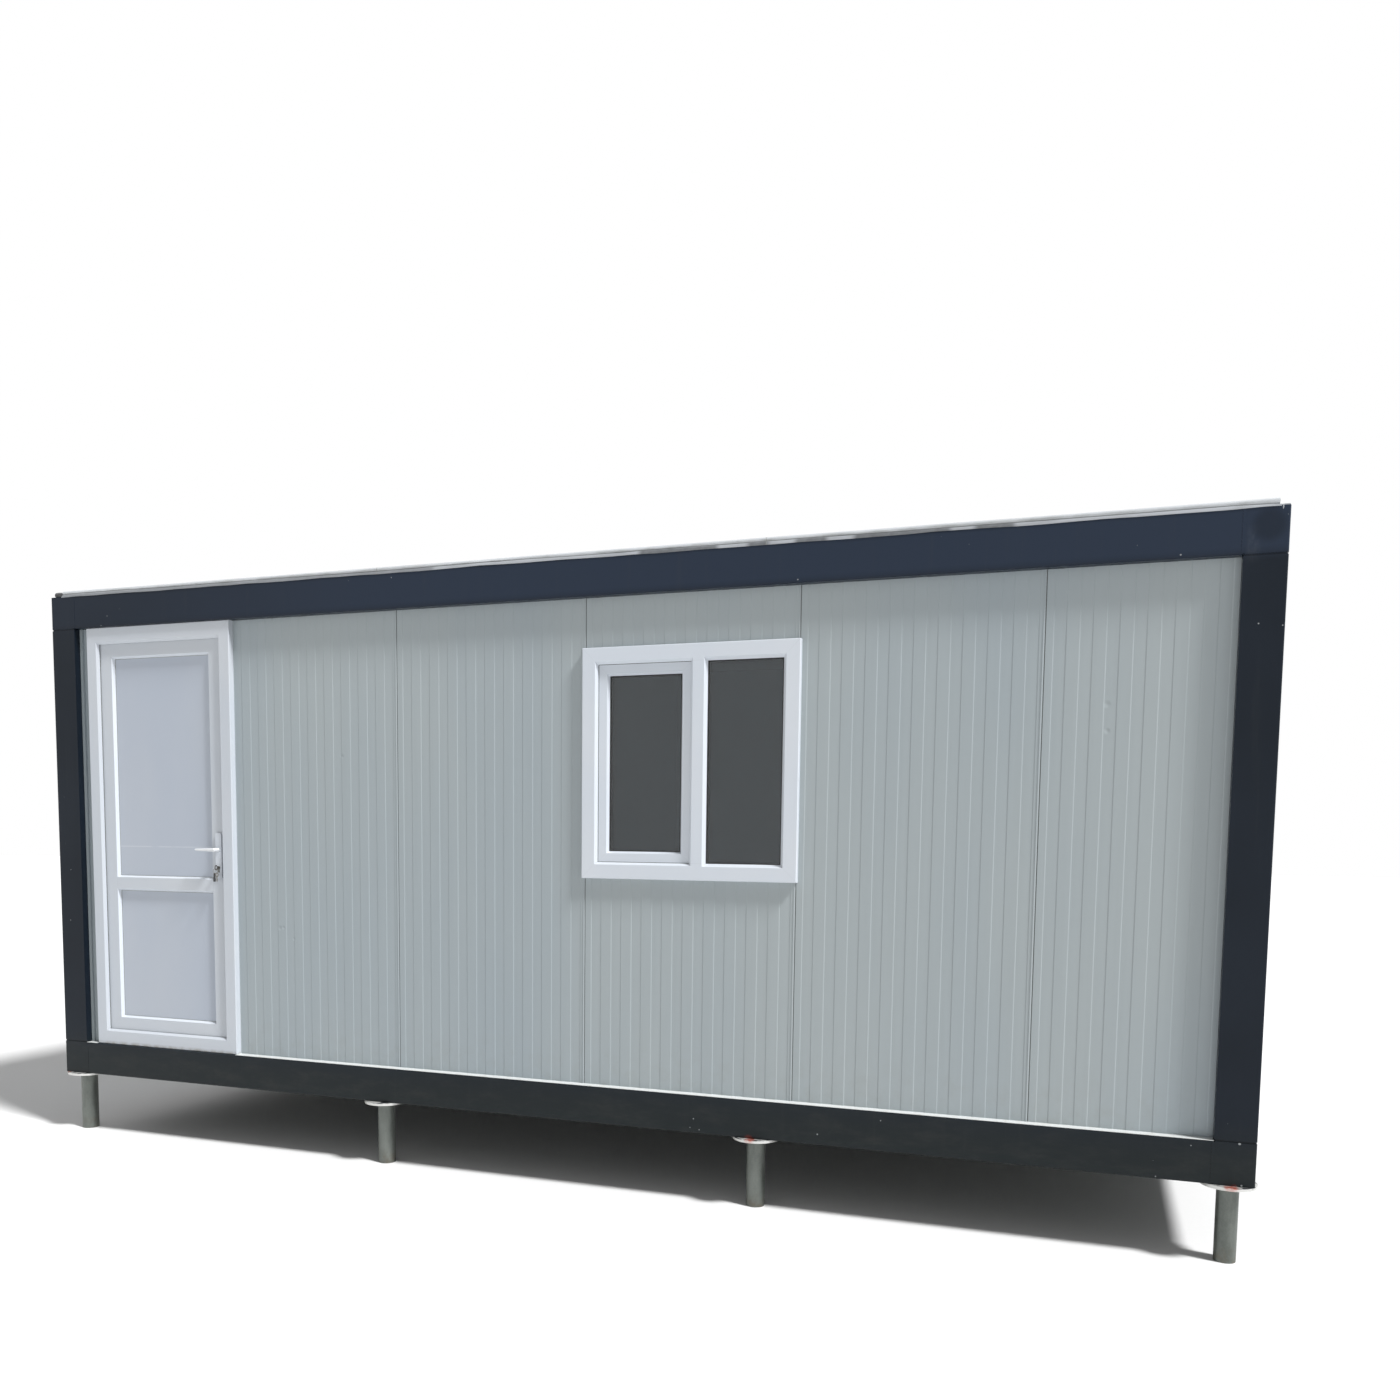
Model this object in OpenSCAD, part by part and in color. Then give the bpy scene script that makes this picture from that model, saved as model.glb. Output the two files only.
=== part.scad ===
// Portable site cabin: a steel corner-post frame with ribbed sandwich wall panels,
// a white door and window in front, a flat roof and eight round steel legs.
// Origin: middle of the plan at the level where the legs meet the ground; the front faces -Y.

/* [Cabin] */
// Length over the corner posts
cabin_len = 6000; // [5200:10:8000]
// Depth over the corner posts
cabin_dep = 2400; // [2200:10:3000]
// Clear wall height between the floor beam and the roof beam
wall_h = 2234; // [2150:1:2600]
// Height of the floor beams
floor_beam_h = 173; // [152:1:220]
// Height of the roof beams
roof_beam_h = 170; // [156:1:220]
// How far the beams reach inwards
beam_dep = 100; // [96:1:140]
// Sheet thickness of the beams and posts
steel_t = 4; // [3:0.5:6]
// Width of the lips that stiffen a beam
beam_lip = 20; // [12:1:20]
// Outer bend radius of the beams and posts
bend_r = 7; // [5.5:0.5:10]
// Face width of a corner post
post_w = 155; // [120:1:200]
// Gap between a post and a corner block, filled by the end plate
post_gap = 7; // [4:0.5:12]
// How far the end plate stays behind the post's faces
plate_set = 4; // [2:0.5:6]

/* [Walls] */
// Thickness of the sandwich panels
wall_t = 50; // [40:1:80]
// How far the panels stand back behind the frame
reveal = 45; // [20:1:60]
// Visible width of a whole panel
panel_w = 1000; // [600:10:1200]
// Open joint between two panels
panel_gap = 4; // [2:0.5:8]
// Depth of the open joint
joint_dep = 12; // [6:1:18]
// Middle of the panel that holds the window, right of the cabin's middle by
window_off = 636; // [400:1:900]
// Distance between the ribs of a panel
rib_pitch = 100; // [50:5:200]
// First rib edge, from the left side of a panel
rib_start = 30; // [10:1:45]
// Width of the low band between two ribs
rib_low = 48; // [20:1:48]
// Depth of the low band
rib_dep = 1.5; // [0.5:0.1:3]
// Width of the slope at a rib's edge
rib_slope = 4; // [2:0.5:10]
// Narrowest flat that is left beside a band
rib_land = 1; // [0.5:0.5:5]
// Width of the filler strips at the cabin's ends
strip_w = 84; // [60:1:140]
// Width of the fold at the front filler strip's left edge
fold_w = 17; // [10:1:40]
// How far the fold stands out from the panels
fold_out = 10; // [4:1:15]
// Thickness of the light sheet under the panels
base_t = 2; // [1:0.5:4]
// How far the light sheet stays behind the beams' faces
base_set = 1; // [0.5:0.5:5]

/* [Floor and roof] */
// Number of joists in the floor
floor_joists_n = 9; // [5:1:14]
// Number of joists in the roof
roof_joists_n = 7; // [5:1:14]
// Gap between a corner block and the first joist
joist_end = 60; // [20:5:200]
// Width of a joist
joist_w = 60; // [40:1:80]
// Height of a floor joist
joist_h = 108; // [60:1:108]
// Height of a roof joist
roof_joist_h = 80; // [40:1:85]
// Thickness of the floor board
board_t = 22; // [20:1:25]
// Thickness of the sheet under the floor
under_t = 2; // [1:0.5:4]
// Thickness of the ceiling lining
ceiling_t = 20; // [20:1:30]
// Thickness of the roof deck
deck_t = 50; // [30:1:55]
// Height of the roof covering above the beams
cover_h = 24; // [15:1:40]
// Height of the rolled edge of the covering above the beams
cover_edge_h = 31; // [20:1:45]
// Width of the rolled edge
cover_edge_w = 40; // [20:1:60]
// Radius of the rolled edge
cover_round = 8; // [4:0.5:9]
// How far the covering stays behind the long sides
cover_set = 3; // [1:1:20]
// Bare beam beside the covering at the left end
cover_left = 80; // [10:1:120]
// Bare beam beside the covering at the right end
cover_right = 38; // [10:1:120]

/* [Legs] */
// Height of the legs, from the lowest ground to the floor beams
leg_h = 320; // [200:5:600]
// Number of legs along each long side
legs_n = 4; // [3:1:6]
// Outside diameter of a leg
leg_d = 84; // [60:1:120]
// Wall thickness of a leg
leg_t = 4; // [3:0.5:6]
// Diameter of the plate on a leg
flange_d = 212; // [160:2:260]
// Thickness of the plate on a leg
flange_t = 12; // [6:1:20]
// Middle of the end legs, from the cabin's ends
leg_end = 89; // [70:1:400]
// Middle of the legs, from the cabin's long sides
leg_side = 72; // [60:1:160]

/* [Door] */
// Left side of the doorway, from the left end
door_x = 245; // [240:1:400]
// Width of the doorway
door_w = 890; // [780:1:1000]
// How far the door frame covers the panels
frame_lap = 22; // [10:1:26]
// How far the door frame stands out from the panels
door_proud = 32; // [20:1:40]
// Depth of the white frame profile
frame_dep = 70; // [60:1:80]
// Visible face of the frame's sides
frame_face = 74; // [66:1:90]
// Visible face of the frame's head
head_face = 86; // [55:1:110]
// Visible face of the frame's foot
foot_face = 82; // [55:1:110]
// Bevel round the outside of the white frames
edge_bevel = 3; // [1:0.5:6]
// Bevel round the openings of the white frames
lip_bevel = 11; // [1:0.5:12]
// Thickness of the lip that the leaf closes behind
stop_t = 15; // [12:1:22]
// How far the lips cover the leaf and the sash
stop_lap = 15; // [12:1:20]
// Gap between the lip and the leaf, for the seal
seal_gap = 5; // [4:0.5:8]
// Clearance round the leaf
leaf_gap = 6; // [5:0.5:8]
// Clearance at the leaf's lock side, which swings wider
lock_gap = 10; // [9:0.5:11]
// Thickness of the leaf
leaf_t = 70; // [60:1:75]
// Visible width of the leaf's stiles
leaf_face = 72; // [60:1:95]
// Visible height of the leaf's top and bottom rails
rail_face = 66; // [50:1:95]
// Height of the leaf's mid rail
mid_face = 60; // [50:1:95]
// Middle of the mid rail above the floor beam
mid_rail_z = 882; // [700:1:1100]
// Width of the glazing beads
bead_w = 11; // [6:0.5:16]
// Flat on top of a glazing bead
bead_flat = 1; // [0.5:0.5:4]
// How far an infill panel lies behind the leaf's face
infill_set = 17; // [10:1:22]
// Thickness of an infill panel
infill_t = 24; // [16:1:32]
// Number of hinges
hinges_n = 3; // [2:1:4]
// Distance of the outer hinges from the leaf's ends
hinge_end = 200; // [120:10:350]
// Length of a hinge
hinge_len = 96; // [70:2:130]
// Outside radius of a hinge
hinge_r = 9; // [8:0.5:9.5]
// Radius of the hinge pin
hinge_pin_r = 5; // [4:0.5:6]
// Gap between the two knuckles and between a knuckle and the leaf
knuckle_gap = 1; // [0.5:0.5:3]
// Width of the hinge's flap on the leaf
flap_w = 46; // [30:1:60]
// Thickness of the hinge's flap
flap_t = 5; // [3:0.5:8]
// Width of the hinge's bracket on the frame
bracket_w = 22; // [12:1:30]

/* [Door lever] */
// Height of the lever above the floor beam
lever_z = 1067; // [900:1:1250]
// Distance from the lever to the side of the doorway's clear opening
lever_set = 27; // [26:1:45]
// Distance from the lever down to the lock
lock_drop = 92; // [70:1:100]
// Height of the long plate
plate_h = 236; // [200:2:300]
// Width of the long plate
plate_w = 38; // [26:1:40]
// Thickness of the long plate
plate_t = 9; // [6:1:12]
// Corner radius of the long plate
plate_round = 8; // [3:0.5:12]
// How far the plate reaches above the lever
plate_up = 88; // [60:1:110]
// Radius of the lever's neck
neck_r = 10; // [9:0.5:11]
// Radius of the spindle between the levers
spindle_r = 6; // [4:0.5:7]
// Clearance round the neck inside the leaf
spindle_clear = 2; // [1:0.5:4]
// Distance from the leaf to the middle of the grip
grip_out = 40; // [34:1:42]
// Radius of the grip at the neck
grip_r = 9; // [6:0.5:10]
// Radius of the grip at its tip
grip_tip_r = 5.5; // [4:0.5:8]
// Length of the grip
grip_len = 118; // [100:1:140]
// Length of the grip's straight start, before it tapers
collar_len = 12; // [8:1:30]
// Radius of the lock's round body
lock_r = 8.5; // [7:0.5:10]
// Depth of the lock's flat body
lock_body = 16; // [12:1:24]
// Width of the lock's flat body
lock_w = 10; // [8:0.5:14]
// Clearance round the lock
lock_clear = 0.2; // [0.1:0.1:0.5]
// How far the lock stands out from the plate
lock_out = 3; // [1:0.5:6]
// Running clearance of pins and necks
pin_clear = 0.1; // [0.05:0.01:0.1]

/* [Window] */
// Height of the window opening above the floor beam
sill_z = 976; // [800:1:1100]
// Height of the window opening
window_h = 1022; // [900:1:1100]
// How far the window frame covers the panels
window_lap = 10; // [8:1:20]
// How far the window frame stands out from the panels
window_proud = 27; // [20:1:40]
// Visible face of the window frame beside the sash, with its bevel
window_face = 75; // [60:1:90]
// Visible face of the window frame beside the fixed light
fixed_face = 61; // [50:1:90]
// Thickness of the lip that the sash shuts behind
window_stop = 18; // [12:1:22]
// Visible width of the sash's stiles and rails
sash_face = 40; // [30:1:60]
// Width of the mullion
mullion_w = 62; // [50:1:80]
// Middle of the mullion, right of the window's middle by
mullion_off = 44; // [-100:1:120]
// Width of the fixed light's glazing beads
fixed_bead_w = 16; // [8:0.5:18]
// Thickness of one glass sheet
glass_t = 4; // [3:0.5:6]
// Width of the space between the glass sheets
glass_space = 16; // [10:1:20]
// Seating clearance of the sash
sash_gap = 0.3; // [0.1:0.1:1]
// How far the spacer between the glass sheets shows beyond a bead
spacer_show = 5; // [1:0.5:10]
// Width of the window handle's rose
rose_w = 28; // [24:1:36]
// Height of the window handle's rose
rose_h = 70; // [60:1:90]
// Thickness of the window handle's rose
rose_t = 10; // [6:1:14]
// Radius of the rose's corners and of the handle's neck
rose_r = 7; // [4:0.5:9]
// Width of the window handle's grip
turn_w = 18; // [16:1:24]
// Thickness of the window handle's grip
turn_t = 12; // [8:1:16]
// Length of the window handle's grip
turn_len = 120; // [90:1:150]
// Gap between the sash and the window handle's grip
turn_gap = 30; // [24:1:45]

/* [Hidden] */

anthracite = [0.17, 0.18, 0.21];
light_grey = [0.66, 0.70, 0.70];
white = [0.92, 0.93, 0.95];
galvanised = [0.60, 0.62, 0.63];
silver = [0.75, 0.76, 0.78];
timber = [0.72, 0.58, 0.40];
glass_tint = [0.25, 0.30, 0.34, 0.5];

// Sides of small, middle and large circles
small_fn = 32;
middle_fn = 48;
large_fn = 64;
// How far a cut reaches past the faces that it opens
cut = 1;

x_left = -cabin_len / 2;
y_front = -cabin_dep / 2;
z_wall = leg_h + floor_beam_h;
z_roof = z_wall + wall_h;
z_top = z_roof + roof_beam_h;
y_panel = y_front + reveal;
panel_pitch = panel_w + panel_gap;
first_joint = cabin_len / 2 + window_off - 1.5 * panel_pitch;
beam_len = cabin_len - 2 * post_w;
beam_width = cabin_dep - 2 * post_w;
post_dep = reveal + wall_t;
panel_z = z_wall + base_t;
panel_h = wall_h - base_t;

// Doorway and door
door_left = x_left + door_x;
door_mid = door_left + door_w / 2;
door_front = y_panel - door_proud;
door_out_w = door_w + 2 * frame_lap;
leaf_front = door_front + stop_t + seal_gap;
leaf_back = leaf_front + leaf_t;
clear_w = door_out_w - 2 * frame_face;
clear_z = z_wall + foot_face;
clear_top = z_roof - head_face;
leaf_w = clear_w + 2 * stop_lap + leaf_gap - lock_gap;
leaf_z = clear_z - stop_lap;
leaf_h = clear_top - clear_z + 2 * stop_lap;
leaf_x = door_mid - clear_w / 2 - stop_lap;
leaf_bar = leaf_face + stop_lap;
rail_bar = rail_face + stop_lap;
infill_w = clear_w - 2 * leaf_face;
mid_z = z_wall + mid_rail_z;
low_h = mid_z - mid_face / 2 - leaf_z - rail_bar;
high_z = mid_z + mid_face / 2;
high_h = leaf_z + leaf_h - rail_bar - high_z;
infill_y = leaf_front + infill_set;
hinge_x = leaf_x - leaf_gap / 2;
hinge_y = leaf_back + hinge_r + knuckle_gap;
hinge_first = leaf_z + hinge_end;
hinge_step = (leaf_h - 2 * hinge_end - hinge_len) / (hinges_n - 1);
knuckle = (hinge_len - knuckle_gap) / 2;
lever_x = door_mid + clear_w / 2 - lever_set;
lever_at = z_wall + lever_z;

// Window
window_x = x_left + first_joint + panel_pitch + panel_gap / 2;
window_w = panel_w;
window_mid = window_x + window_w / 2;
window_front = y_panel - window_proud;
window_z = z_wall + sill_z;
win_w = window_w + 2 * window_lap;
win_h = window_h + 2 * window_lap;
win_x = window_x - window_lap;
win_z = window_z - window_lap;
mullion_x = window_mid + mullion_off - mullion_w / 2;
light_z = win_z + window_face;
light_h = win_h - 2 * window_face;
sash_x = win_x + window_face;
sash_w = mullion_x - sash_x;
fixed_x = mullion_x + mullion_w;
fixed_w = win_x + win_w - fixed_face - fixed_x;
fixed_z = win_z + fixed_face;
fixed_h = win_h - 2 * fixed_face;
sash_front = window_front + window_stop + sash_gap;
sash_field_w = sash_w - 2 * sash_face;
sash_field_h = light_h - 2 * sash_face;
unit_t = 2 * glass_t + glass_space;
inner_bead = frame_dep - infill_set - unit_t;
fixed_glass_y = window_front + infill_set;
sash_glass_y = sash_front + infill_set;

// Basic shapes

// Rectangle with its corner at the origin and round corners
module round_rect(w, h, r) {
    translate([r, 0]) square([w - 2 * r, h]);
    translate([0, r]) square([w, h - 2 * r]);
    for (x = [r, w - r]) {
        for (y = [r, h - r]) {
            translate([x, y]) circle(r, $fn = small_fn);
        }
    }
}

// Lipped channel: web on the left, open on the right
module channel_outline(w, h) {
    inner_r = bend_r - steel_t;
    difference() {
        round_rect(w, h, bend_r);
        translate([steel_t, steel_t]) round_rect(w - 2 * steel_t, h - 2 * steel_t, inner_r);
        translate([w - 2 * steel_t, beam_lip]) square([2 * steel_t + cut, h - 2 * beam_lip]);
    }
}

// Channel along X with its web in front
module long_beam(h) {
    rotate([90, 0, 90])
        linear_extrude(beam_len)
            channel_outline(beam_dep, h);
}

// Channel along Y with its web on the left
module end_beam(h) {
    translate([0, beam_width, 0])
        rotate([90, 0, 0])
            linear_extrude(beam_width)
                channel_outline(beam_dep, h);
}

// Copies for the four corners, drawn for the front left one
module at_corners() {
    for (mx = [0, 1]) {
        for (my = [0, 1]) {
            mirror([mx, 0, 0]) mirror([0, my, 0]) children();
        }
    }
}

// Hollow corner block under or over a post
module corner_block(h) {
    translate([x_left, y_front, 0]) difference() {
        linear_extrude(h) round_rect(post_w, post_w, bend_r);
        translate([steel_t, steel_t, steel_t])
            cube([post_w - 2 * steel_t, post_w - 2 * steel_t, h - 2 * steel_t]);
    }
}

// Angle-shaped outline of a post, drawn inwards by a margin
module post_outline(margin) {
    r = bend_r - margin;
    translate([margin + r, margin])
        square([post_w - 2 * margin - r, post_dep - 2 * margin]);
    translate([margin, margin + r])
        square([post_dep - 2 * margin, post_w - 2 * margin - r]);
    translate([margin + r, margin + r]) circle(r, $fn = small_fn);
}

// Hollow corner post, closed above and below, on set-back end plates
module corner_post() {
    closed = post_gap + steel_t;
    translate([x_left, y_front, z_wall]) {
        difference() {
            translate([0, 0, post_gap]) linear_extrude(wall_h - 2 * post_gap) post_outline(0);
            translate([0, 0, closed]) linear_extrude(wall_h - 2 * closed) post_outline(steel_t);
        }
        for (z = [0, wall_h - closed]) {
            translate([0, 0, z]) linear_extrude(closed) post_outline(plate_set);
        }
    }
}

// Points of the low bands between the ribs of the panel that starts at a, seen from above
// with the outside at y = 0. A band that the cut ends would reach is left out.
function rib_points(a, from, to) = [
    for (k = [0:1:ceil(panel_w / rib_pitch)])
        let (start = a + rib_start + k * rib_pitch, end = start + rib_low, s = rib_slope / 2)
            if (start - s > from + rib_land && end + s < to - rib_land)
                each [[start - s, 0], [start + s, rib_dep], [end - s, rib_dep], [end + s, 0]]
];

// One panel that starts at a, cut to the stretch between from and to
module panel_outline(a, from, to) {
    left = max(a, from);
    right = min(a + panel_w, to);
    polygon(concat(
        [[left, 0]],
        rib_points(a, left, right),
        [[right, 0], [right, wall_t], [left, wall_t]]
    ));
}

// Tongue that closes the joint behind the panel that starts at a
module tongue(a) {
    translate([a - panel_gap, joint_dep]) square([panel_gap, wall_t - 2 * joint_dep]);
}

// Wall of panels from one end to the other with a joint at a given place
module wall_run(from, to, joint, height) {
    first = floor((from - joint) / panel_pitch);
    last = floor((to - joint) / panel_pitch);
    linear_extrude(height) {
        for (i = [first:1:last]) {
            a = joint + panel_gap / 2 + i * panel_pitch;
            if (min(a + panel_w, to) > max(a, from) + rib_land) panel_outline(a, from, to);
            if (a - panel_gap > from && a < to) tongue(a);
        }
    }
}

// Stretch of the front wall, with places measured from the left end
module front_stretch(from, to, z, height) {
    color(light_grey)
        translate([x_left, y_panel, z])
            wall_run(from, to, first_joint, height);
}

// Upright rectangular ring with its corner at the origin
module ring(w, h, dep, bar) {
    difference() {
        cube([w, dep, h]);
        translate([bar, -cut, bar]) cube([w - 2 * bar, dep + 2 * cut, h - 2 * bar]);
    }
}

// Upright board with its corner at the origin and a bevel round its front
module bevelled_board(w, h, dep) {
    b = edge_bevel;
    intersection() {
        linear_extrude(h)
            polygon([[b, 0], [w - b, 0], [w, b], [w, dep], [0, dep], [0, b]]);
        rotate([90, 0, 90]) linear_extrude(w)
            polygon([[0, b], [b, 0], [dep, 0], [dep, h], [b, h], [0, h - b]]);
    }
}

// Cut for an opening through a frame, wider in front at its bevelled lip
module bevelled_opening(w, h, dep) {
    b = lip_bevel;
    m = b + cut;
    translate([0, -cut, 0]) cube([w, dep + 2 * cut, h]);
    intersection() {
        translate([0, 0, -m]) linear_extrude(h + 2 * m)
            polygon([[-m, -cut], [w + m, -cut], [w, b], [0, b]]);
        translate([-m, 0, 0]) rotate([90, 0, 90]) linear_extrude(w + 2 * m)
            polygon([[-cut, -m], [b, 0], [b, h], [-cut, h + m]]);
    }
}

// Four bead strips round an opening, sloping towards it in front
module beads(w, h, dep, bar = bead_w) {
    for (side = [0, 1]) {
        translate([side * w, 0, 0]) mirror([side, 0, 0])
            bead_strip(h, dep, bar);
    }
    for (side = [0, 1]) {
        translate([0, 0, side * h]) mirror([0, 0, side])
            multmatrix([[0, 0, 1, 0], [0, 1, 0, 0], [1, 0, 0, 0], [0, 0, 0, 1]])
                bead_strip(w, dep, bar);
    }
}

// One bead strip, upright, with mitred ends
module bead_strip(length, dep, bar) {
    intersection() {
        linear_extrude(length)
            polygon([[0, 0], [bead_flat, 0], [bar, dep], [0, dep]]);
        rotate([90, 0, 0]) translate([0, 0, -dep - cut]) linear_extrude(dep + 2 * cut)
            polygon([[0, 0], [bar, bar], [bar, length - bar], [0, length]]);
    }
}

// Floor frame

module front_floor_beam() {
    color(anthracite)
        translate([x_left + post_w, y_front, leg_h]) long_beam(floor_beam_h);
}

module back_floor_beam() {
    color(anthracite)
        mirror([0, 1, 0]) translate([x_left + post_w, y_front, leg_h]) long_beam(floor_beam_h);
}

module left_floor_beam() {
    color(anthracite)
        translate([x_left, y_front + post_w, leg_h]) end_beam(floor_beam_h);
}

module right_floor_beam() {
    color(anthracite)
        mirror([1, 0, 0]) translate([x_left, y_front + post_w, leg_h]) end_beam(floor_beam_h);
}

module floor_corner_blocks() {
    color(anthracite)
        at_corners() translate([0, 0, leg_h]) corner_block(floor_beam_h);
}

// Square tubes across the cabin, from web to web of the long beams
module joist_row(n, h) {
    span = cabin_dep - 2 * steel_t;
    first = x_left + post_w + joist_end;
    step = (beam_len - 2 * joist_end - joist_w) / (n - 1);
    for (i = [0:1:n - 1]) {
        translate([first + i * step, -span / 2, 0]) difference() {
            cube([joist_w, span, h]);
            translate([steel_t, -cut, steel_t])
                cube([joist_w - 2 * steel_t, span + 2 * cut, h - 2 * steel_t]);
        }
    }
}

module floor_joists() {
    color(anthracite)
        translate([0, 0, z_wall - board_t - joist_h]) joist_row(floor_joists_n, joist_h);
}

// Sheet or board that fills the frame between the beams and clears the corner blocks
module infill_board(z, t) {
    difference() {
        translate([x_left + beam_dep, y_front + beam_dep, z])
            cube([cabin_len - 2 * beam_dep, cabin_dep - 2 * beam_dep, t]);
        at_corners() translate([x_left - cut, y_front - cut, z - cut])
            cube([post_w + cut, post_w + cut, t + 2 * cut]);
    }
}

module floor_board() {
    color(timber) infill_board(z_wall - board_t, board_t);
}

module underfloor_sheet() {
    color(galvanised) infill_board(z_wall - board_t - joist_h - under_t, under_t);
}

// Roof frame

module front_roof_beam() {
    color(anthracite)
        translate([x_left + post_w, y_front, z_roof]) long_beam(roof_beam_h);
}

module back_roof_beam() {
    color(anthracite)
        mirror([0, 1, 0]) translate([x_left + post_w, y_front, z_roof]) long_beam(roof_beam_h);
}

module left_roof_beam() {
    color(anthracite)
        translate([x_left, y_front + post_w, z_roof]) end_beam(roof_beam_h);
}

module right_roof_beam() {
    color(anthracite)
        mirror([1, 0, 0]) translate([x_left, y_front + post_w, z_roof]) end_beam(roof_beam_h);
}

module roof_corner_blocks() {
    color(anthracite)
        at_corners() translate([0, 0, z_roof]) corner_block(roof_beam_h);
}

module roof_joists() {
    color(anthracite)
        translate([0, 0, z_roof + ceiling_t]) joist_row(roof_joists_n, roof_joist_h);
}

module ceiling_lining() {
    color(white) infill_board(z_roof, ceiling_t);
}

module roof_deck() {
    color(galvanised) infill_board(z_roof + ceiling_t + roof_joist_h, deck_t);
}

// Covering over the deck and the beams, with a rolled edge all round
module roof_covering() {
    w = cabin_len - cover_left - cover_right;
    d = cabin_dep - 2 * cover_set;
    gap = roof_beam_h - ceiling_t - roof_joist_h - deck_t;
    color(white) {
        translate([x_left + cover_left, y_front + cover_set, z_top]) {
            cube([w, d, cover_h]);
            for (y = [0, d - cover_edge_w]) {
                translate([0, y, 0]) rotate([90, 0, 90]) linear_extrude(w) edge_roll();
            }
            for (x = [0, w - cover_edge_w]) {
                translate([x, d, 0]) rotate([90, 0, 0]) linear_extrude(d) edge_roll();
            }
        }
        infill_board(z_top - gap, gap);
    }
}

// Rolled edge in section
module edge_roll() {
    round_rect(cover_edge_w, cover_edge_h, cover_round);
    square([cover_edge_w, cover_round]);
}

// Posts

module front_left_post() {
    color(anthracite) corner_post();
}

module front_right_post() {
    color(anthracite) mirror([1, 0, 0]) corner_post();
}

module back_left_post() {
    color(anthracite) mirror([0, 1, 0]) corner_post();
}

module back_right_post() {
    color(anthracite) mirror([1, 0, 0]) mirror([0, 1, 0]) corner_post();
}

// Walls

// Light sheet on the floor beams under the panels, left out at the doorway
module base_sheets() {
    sheet_w = post_dep - base_set;
    color(light_grey) {
        translate([x_left + post_w, y_front + base_set, z_wall]) difference() {
            cube([beam_len, sheet_w, base_t]);
            translate([door_x - frame_lap - post_w, -cut, -cut])
                cube([door_out_w, sheet_w + 2 * cut, base_t + 2 * cut]);
        }
        translate([x_left + post_w, -y_front - post_dep, z_wall])
            cube([beam_len, sheet_w, base_t]);
        for (side = [0, 1]) {
            mirror([side, 0, 0]) translate([x_left + base_set, y_front + post_w, z_wall])
                cube([sheet_w, beam_width, base_t]);
        }
    }
}

// Strip between the post and the door frame, with a fold that stands out beside the post
module filler_strip() {
    color(light_grey) translate([x_left + post_w, y_panel, panel_z]) {
        cube([door_x - post_w, wall_t, panel_h]);
        translate([0, -fold_out, 0]) cube([fold_w, fold_out, panel_h]);
    }
}

module front_panel_1() {
    front_stretch(door_x + door_w, first_joint - panel_gap / 2, panel_z, panel_h);
}

module front_panel_2() {
    front_stretch(first_joint - panel_gap / 2, first_joint + panel_gap / 2 + panel_w,
        panel_z, panel_h);
}

module panel_over_window() {
    start = first_joint + panel_pitch - panel_gap / 2;
    front_stretch(start, start + panel_pitch, window_z + window_h,
        z_roof - window_z - window_h);
}

module panel_under_window() {
    start = first_joint + panel_pitch - panel_gap / 2;
    front_stretch(start, start + panel_pitch, panel_z, window_z - panel_z);
}

module front_panel_4() {
    start = first_joint + 2 * panel_pitch - panel_gap / 2;
    front_stretch(start, start + panel_pitch, panel_z, panel_h);
}

module front_panel_5() {
    start = first_joint + 3 * panel_pitch - panel_gap / 2;
    front_stretch(start, cabin_len - post_w, panel_z, panel_h);
}

// Plain filler at one end of a wall, then whole panels and a cut one
module plain_wall(length) {
    translate([0, reveal, panel_z]) {
        wall_run(0, length, strip_w + panel_gap / 2, panel_h);
    }
}

module back_wall() {
    color(light_grey)
        rotate([0, 0, 180]) translate([x_left + post_w, y_front, 0]) plain_wall(beam_len);
}

module left_wall() {
    color(light_grey)
        rotate([0, 0, -90]) translate([y_front + post_w, x_left, 0]) plain_wall(beam_width);
}

module right_wall() {
    color(light_grey)
        rotate([0, 0, 90]) translate([y_front + post_w, x_left, 0]) plain_wall(beam_width);
}

// Door

// Ring in the doorway that laps over the panels, with a pocket that the leaf closes into
module door_frame() {
    pocket_w = leaf_w + leaf_gap + lock_gap;
    pocket_h = leaf_h + 2 * leaf_gap;
    color(white) difference() {
        union() {
            translate([door_left - frame_lap, door_front, z_wall])
                bevelled_board(door_out_w, wall_h, door_proud);
            translate([door_left, door_front + edge_bevel, z_wall])
                cube([door_w, frame_dep - edge_bevel, wall_h]);
        }
        translate([door_mid - clear_w / 2, door_front, clear_z])
            bevelled_opening(clear_w, clear_top - clear_z, frame_dep);
        translate([leaf_x - leaf_gap, door_front + stop_t, leaf_z - leaf_gap])
            cube([pocket_w, frame_dep, pocket_h]);
    }
}

// Stiles and rails with a bore for the spindle and a slot for the lock
module door_leaf() {
    color(white)
        translate([leaf_x, leaf_front, leaf_z]) difference() {
            cube([leaf_w, leaf_t, leaf_h]);
            translate([leaf_bar, -cut, rail_bar])
                cube([infill_w, leaf_t + 2 * cut, low_h]);
            translate([leaf_bar, -cut, high_z - leaf_z])
                cube([infill_w, leaf_t + 2 * cut, high_h]);
            translate([lever_x - leaf_x, -cut, lever_at - leaf_z])
                rotate([-90, 0, 0])
                    cylinder(leaf_t + 2 * cut, r = neck_r + spindle_clear, $fn = middle_fn);
            translate([lever_x - leaf_x, 0, lever_at - lock_drop - leaf_z])
                lock_shape(leaf_t, cut, lock_clear);
        }
}

// Both fields of the leaf, each drawn with its corner at the origin
module in_fields(y) {
    translate([leaf_x + leaf_bar, y, leaf_z + rail_bar]) children(0);
    translate([leaf_x + leaf_bar, y, high_z]) children(1);
}

module door_infills() {
    color(white) in_fields(infill_y) {
        cube([infill_w, infill_t, low_h]);
        cube([infill_w, infill_t, high_h]);
    }
}

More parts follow.
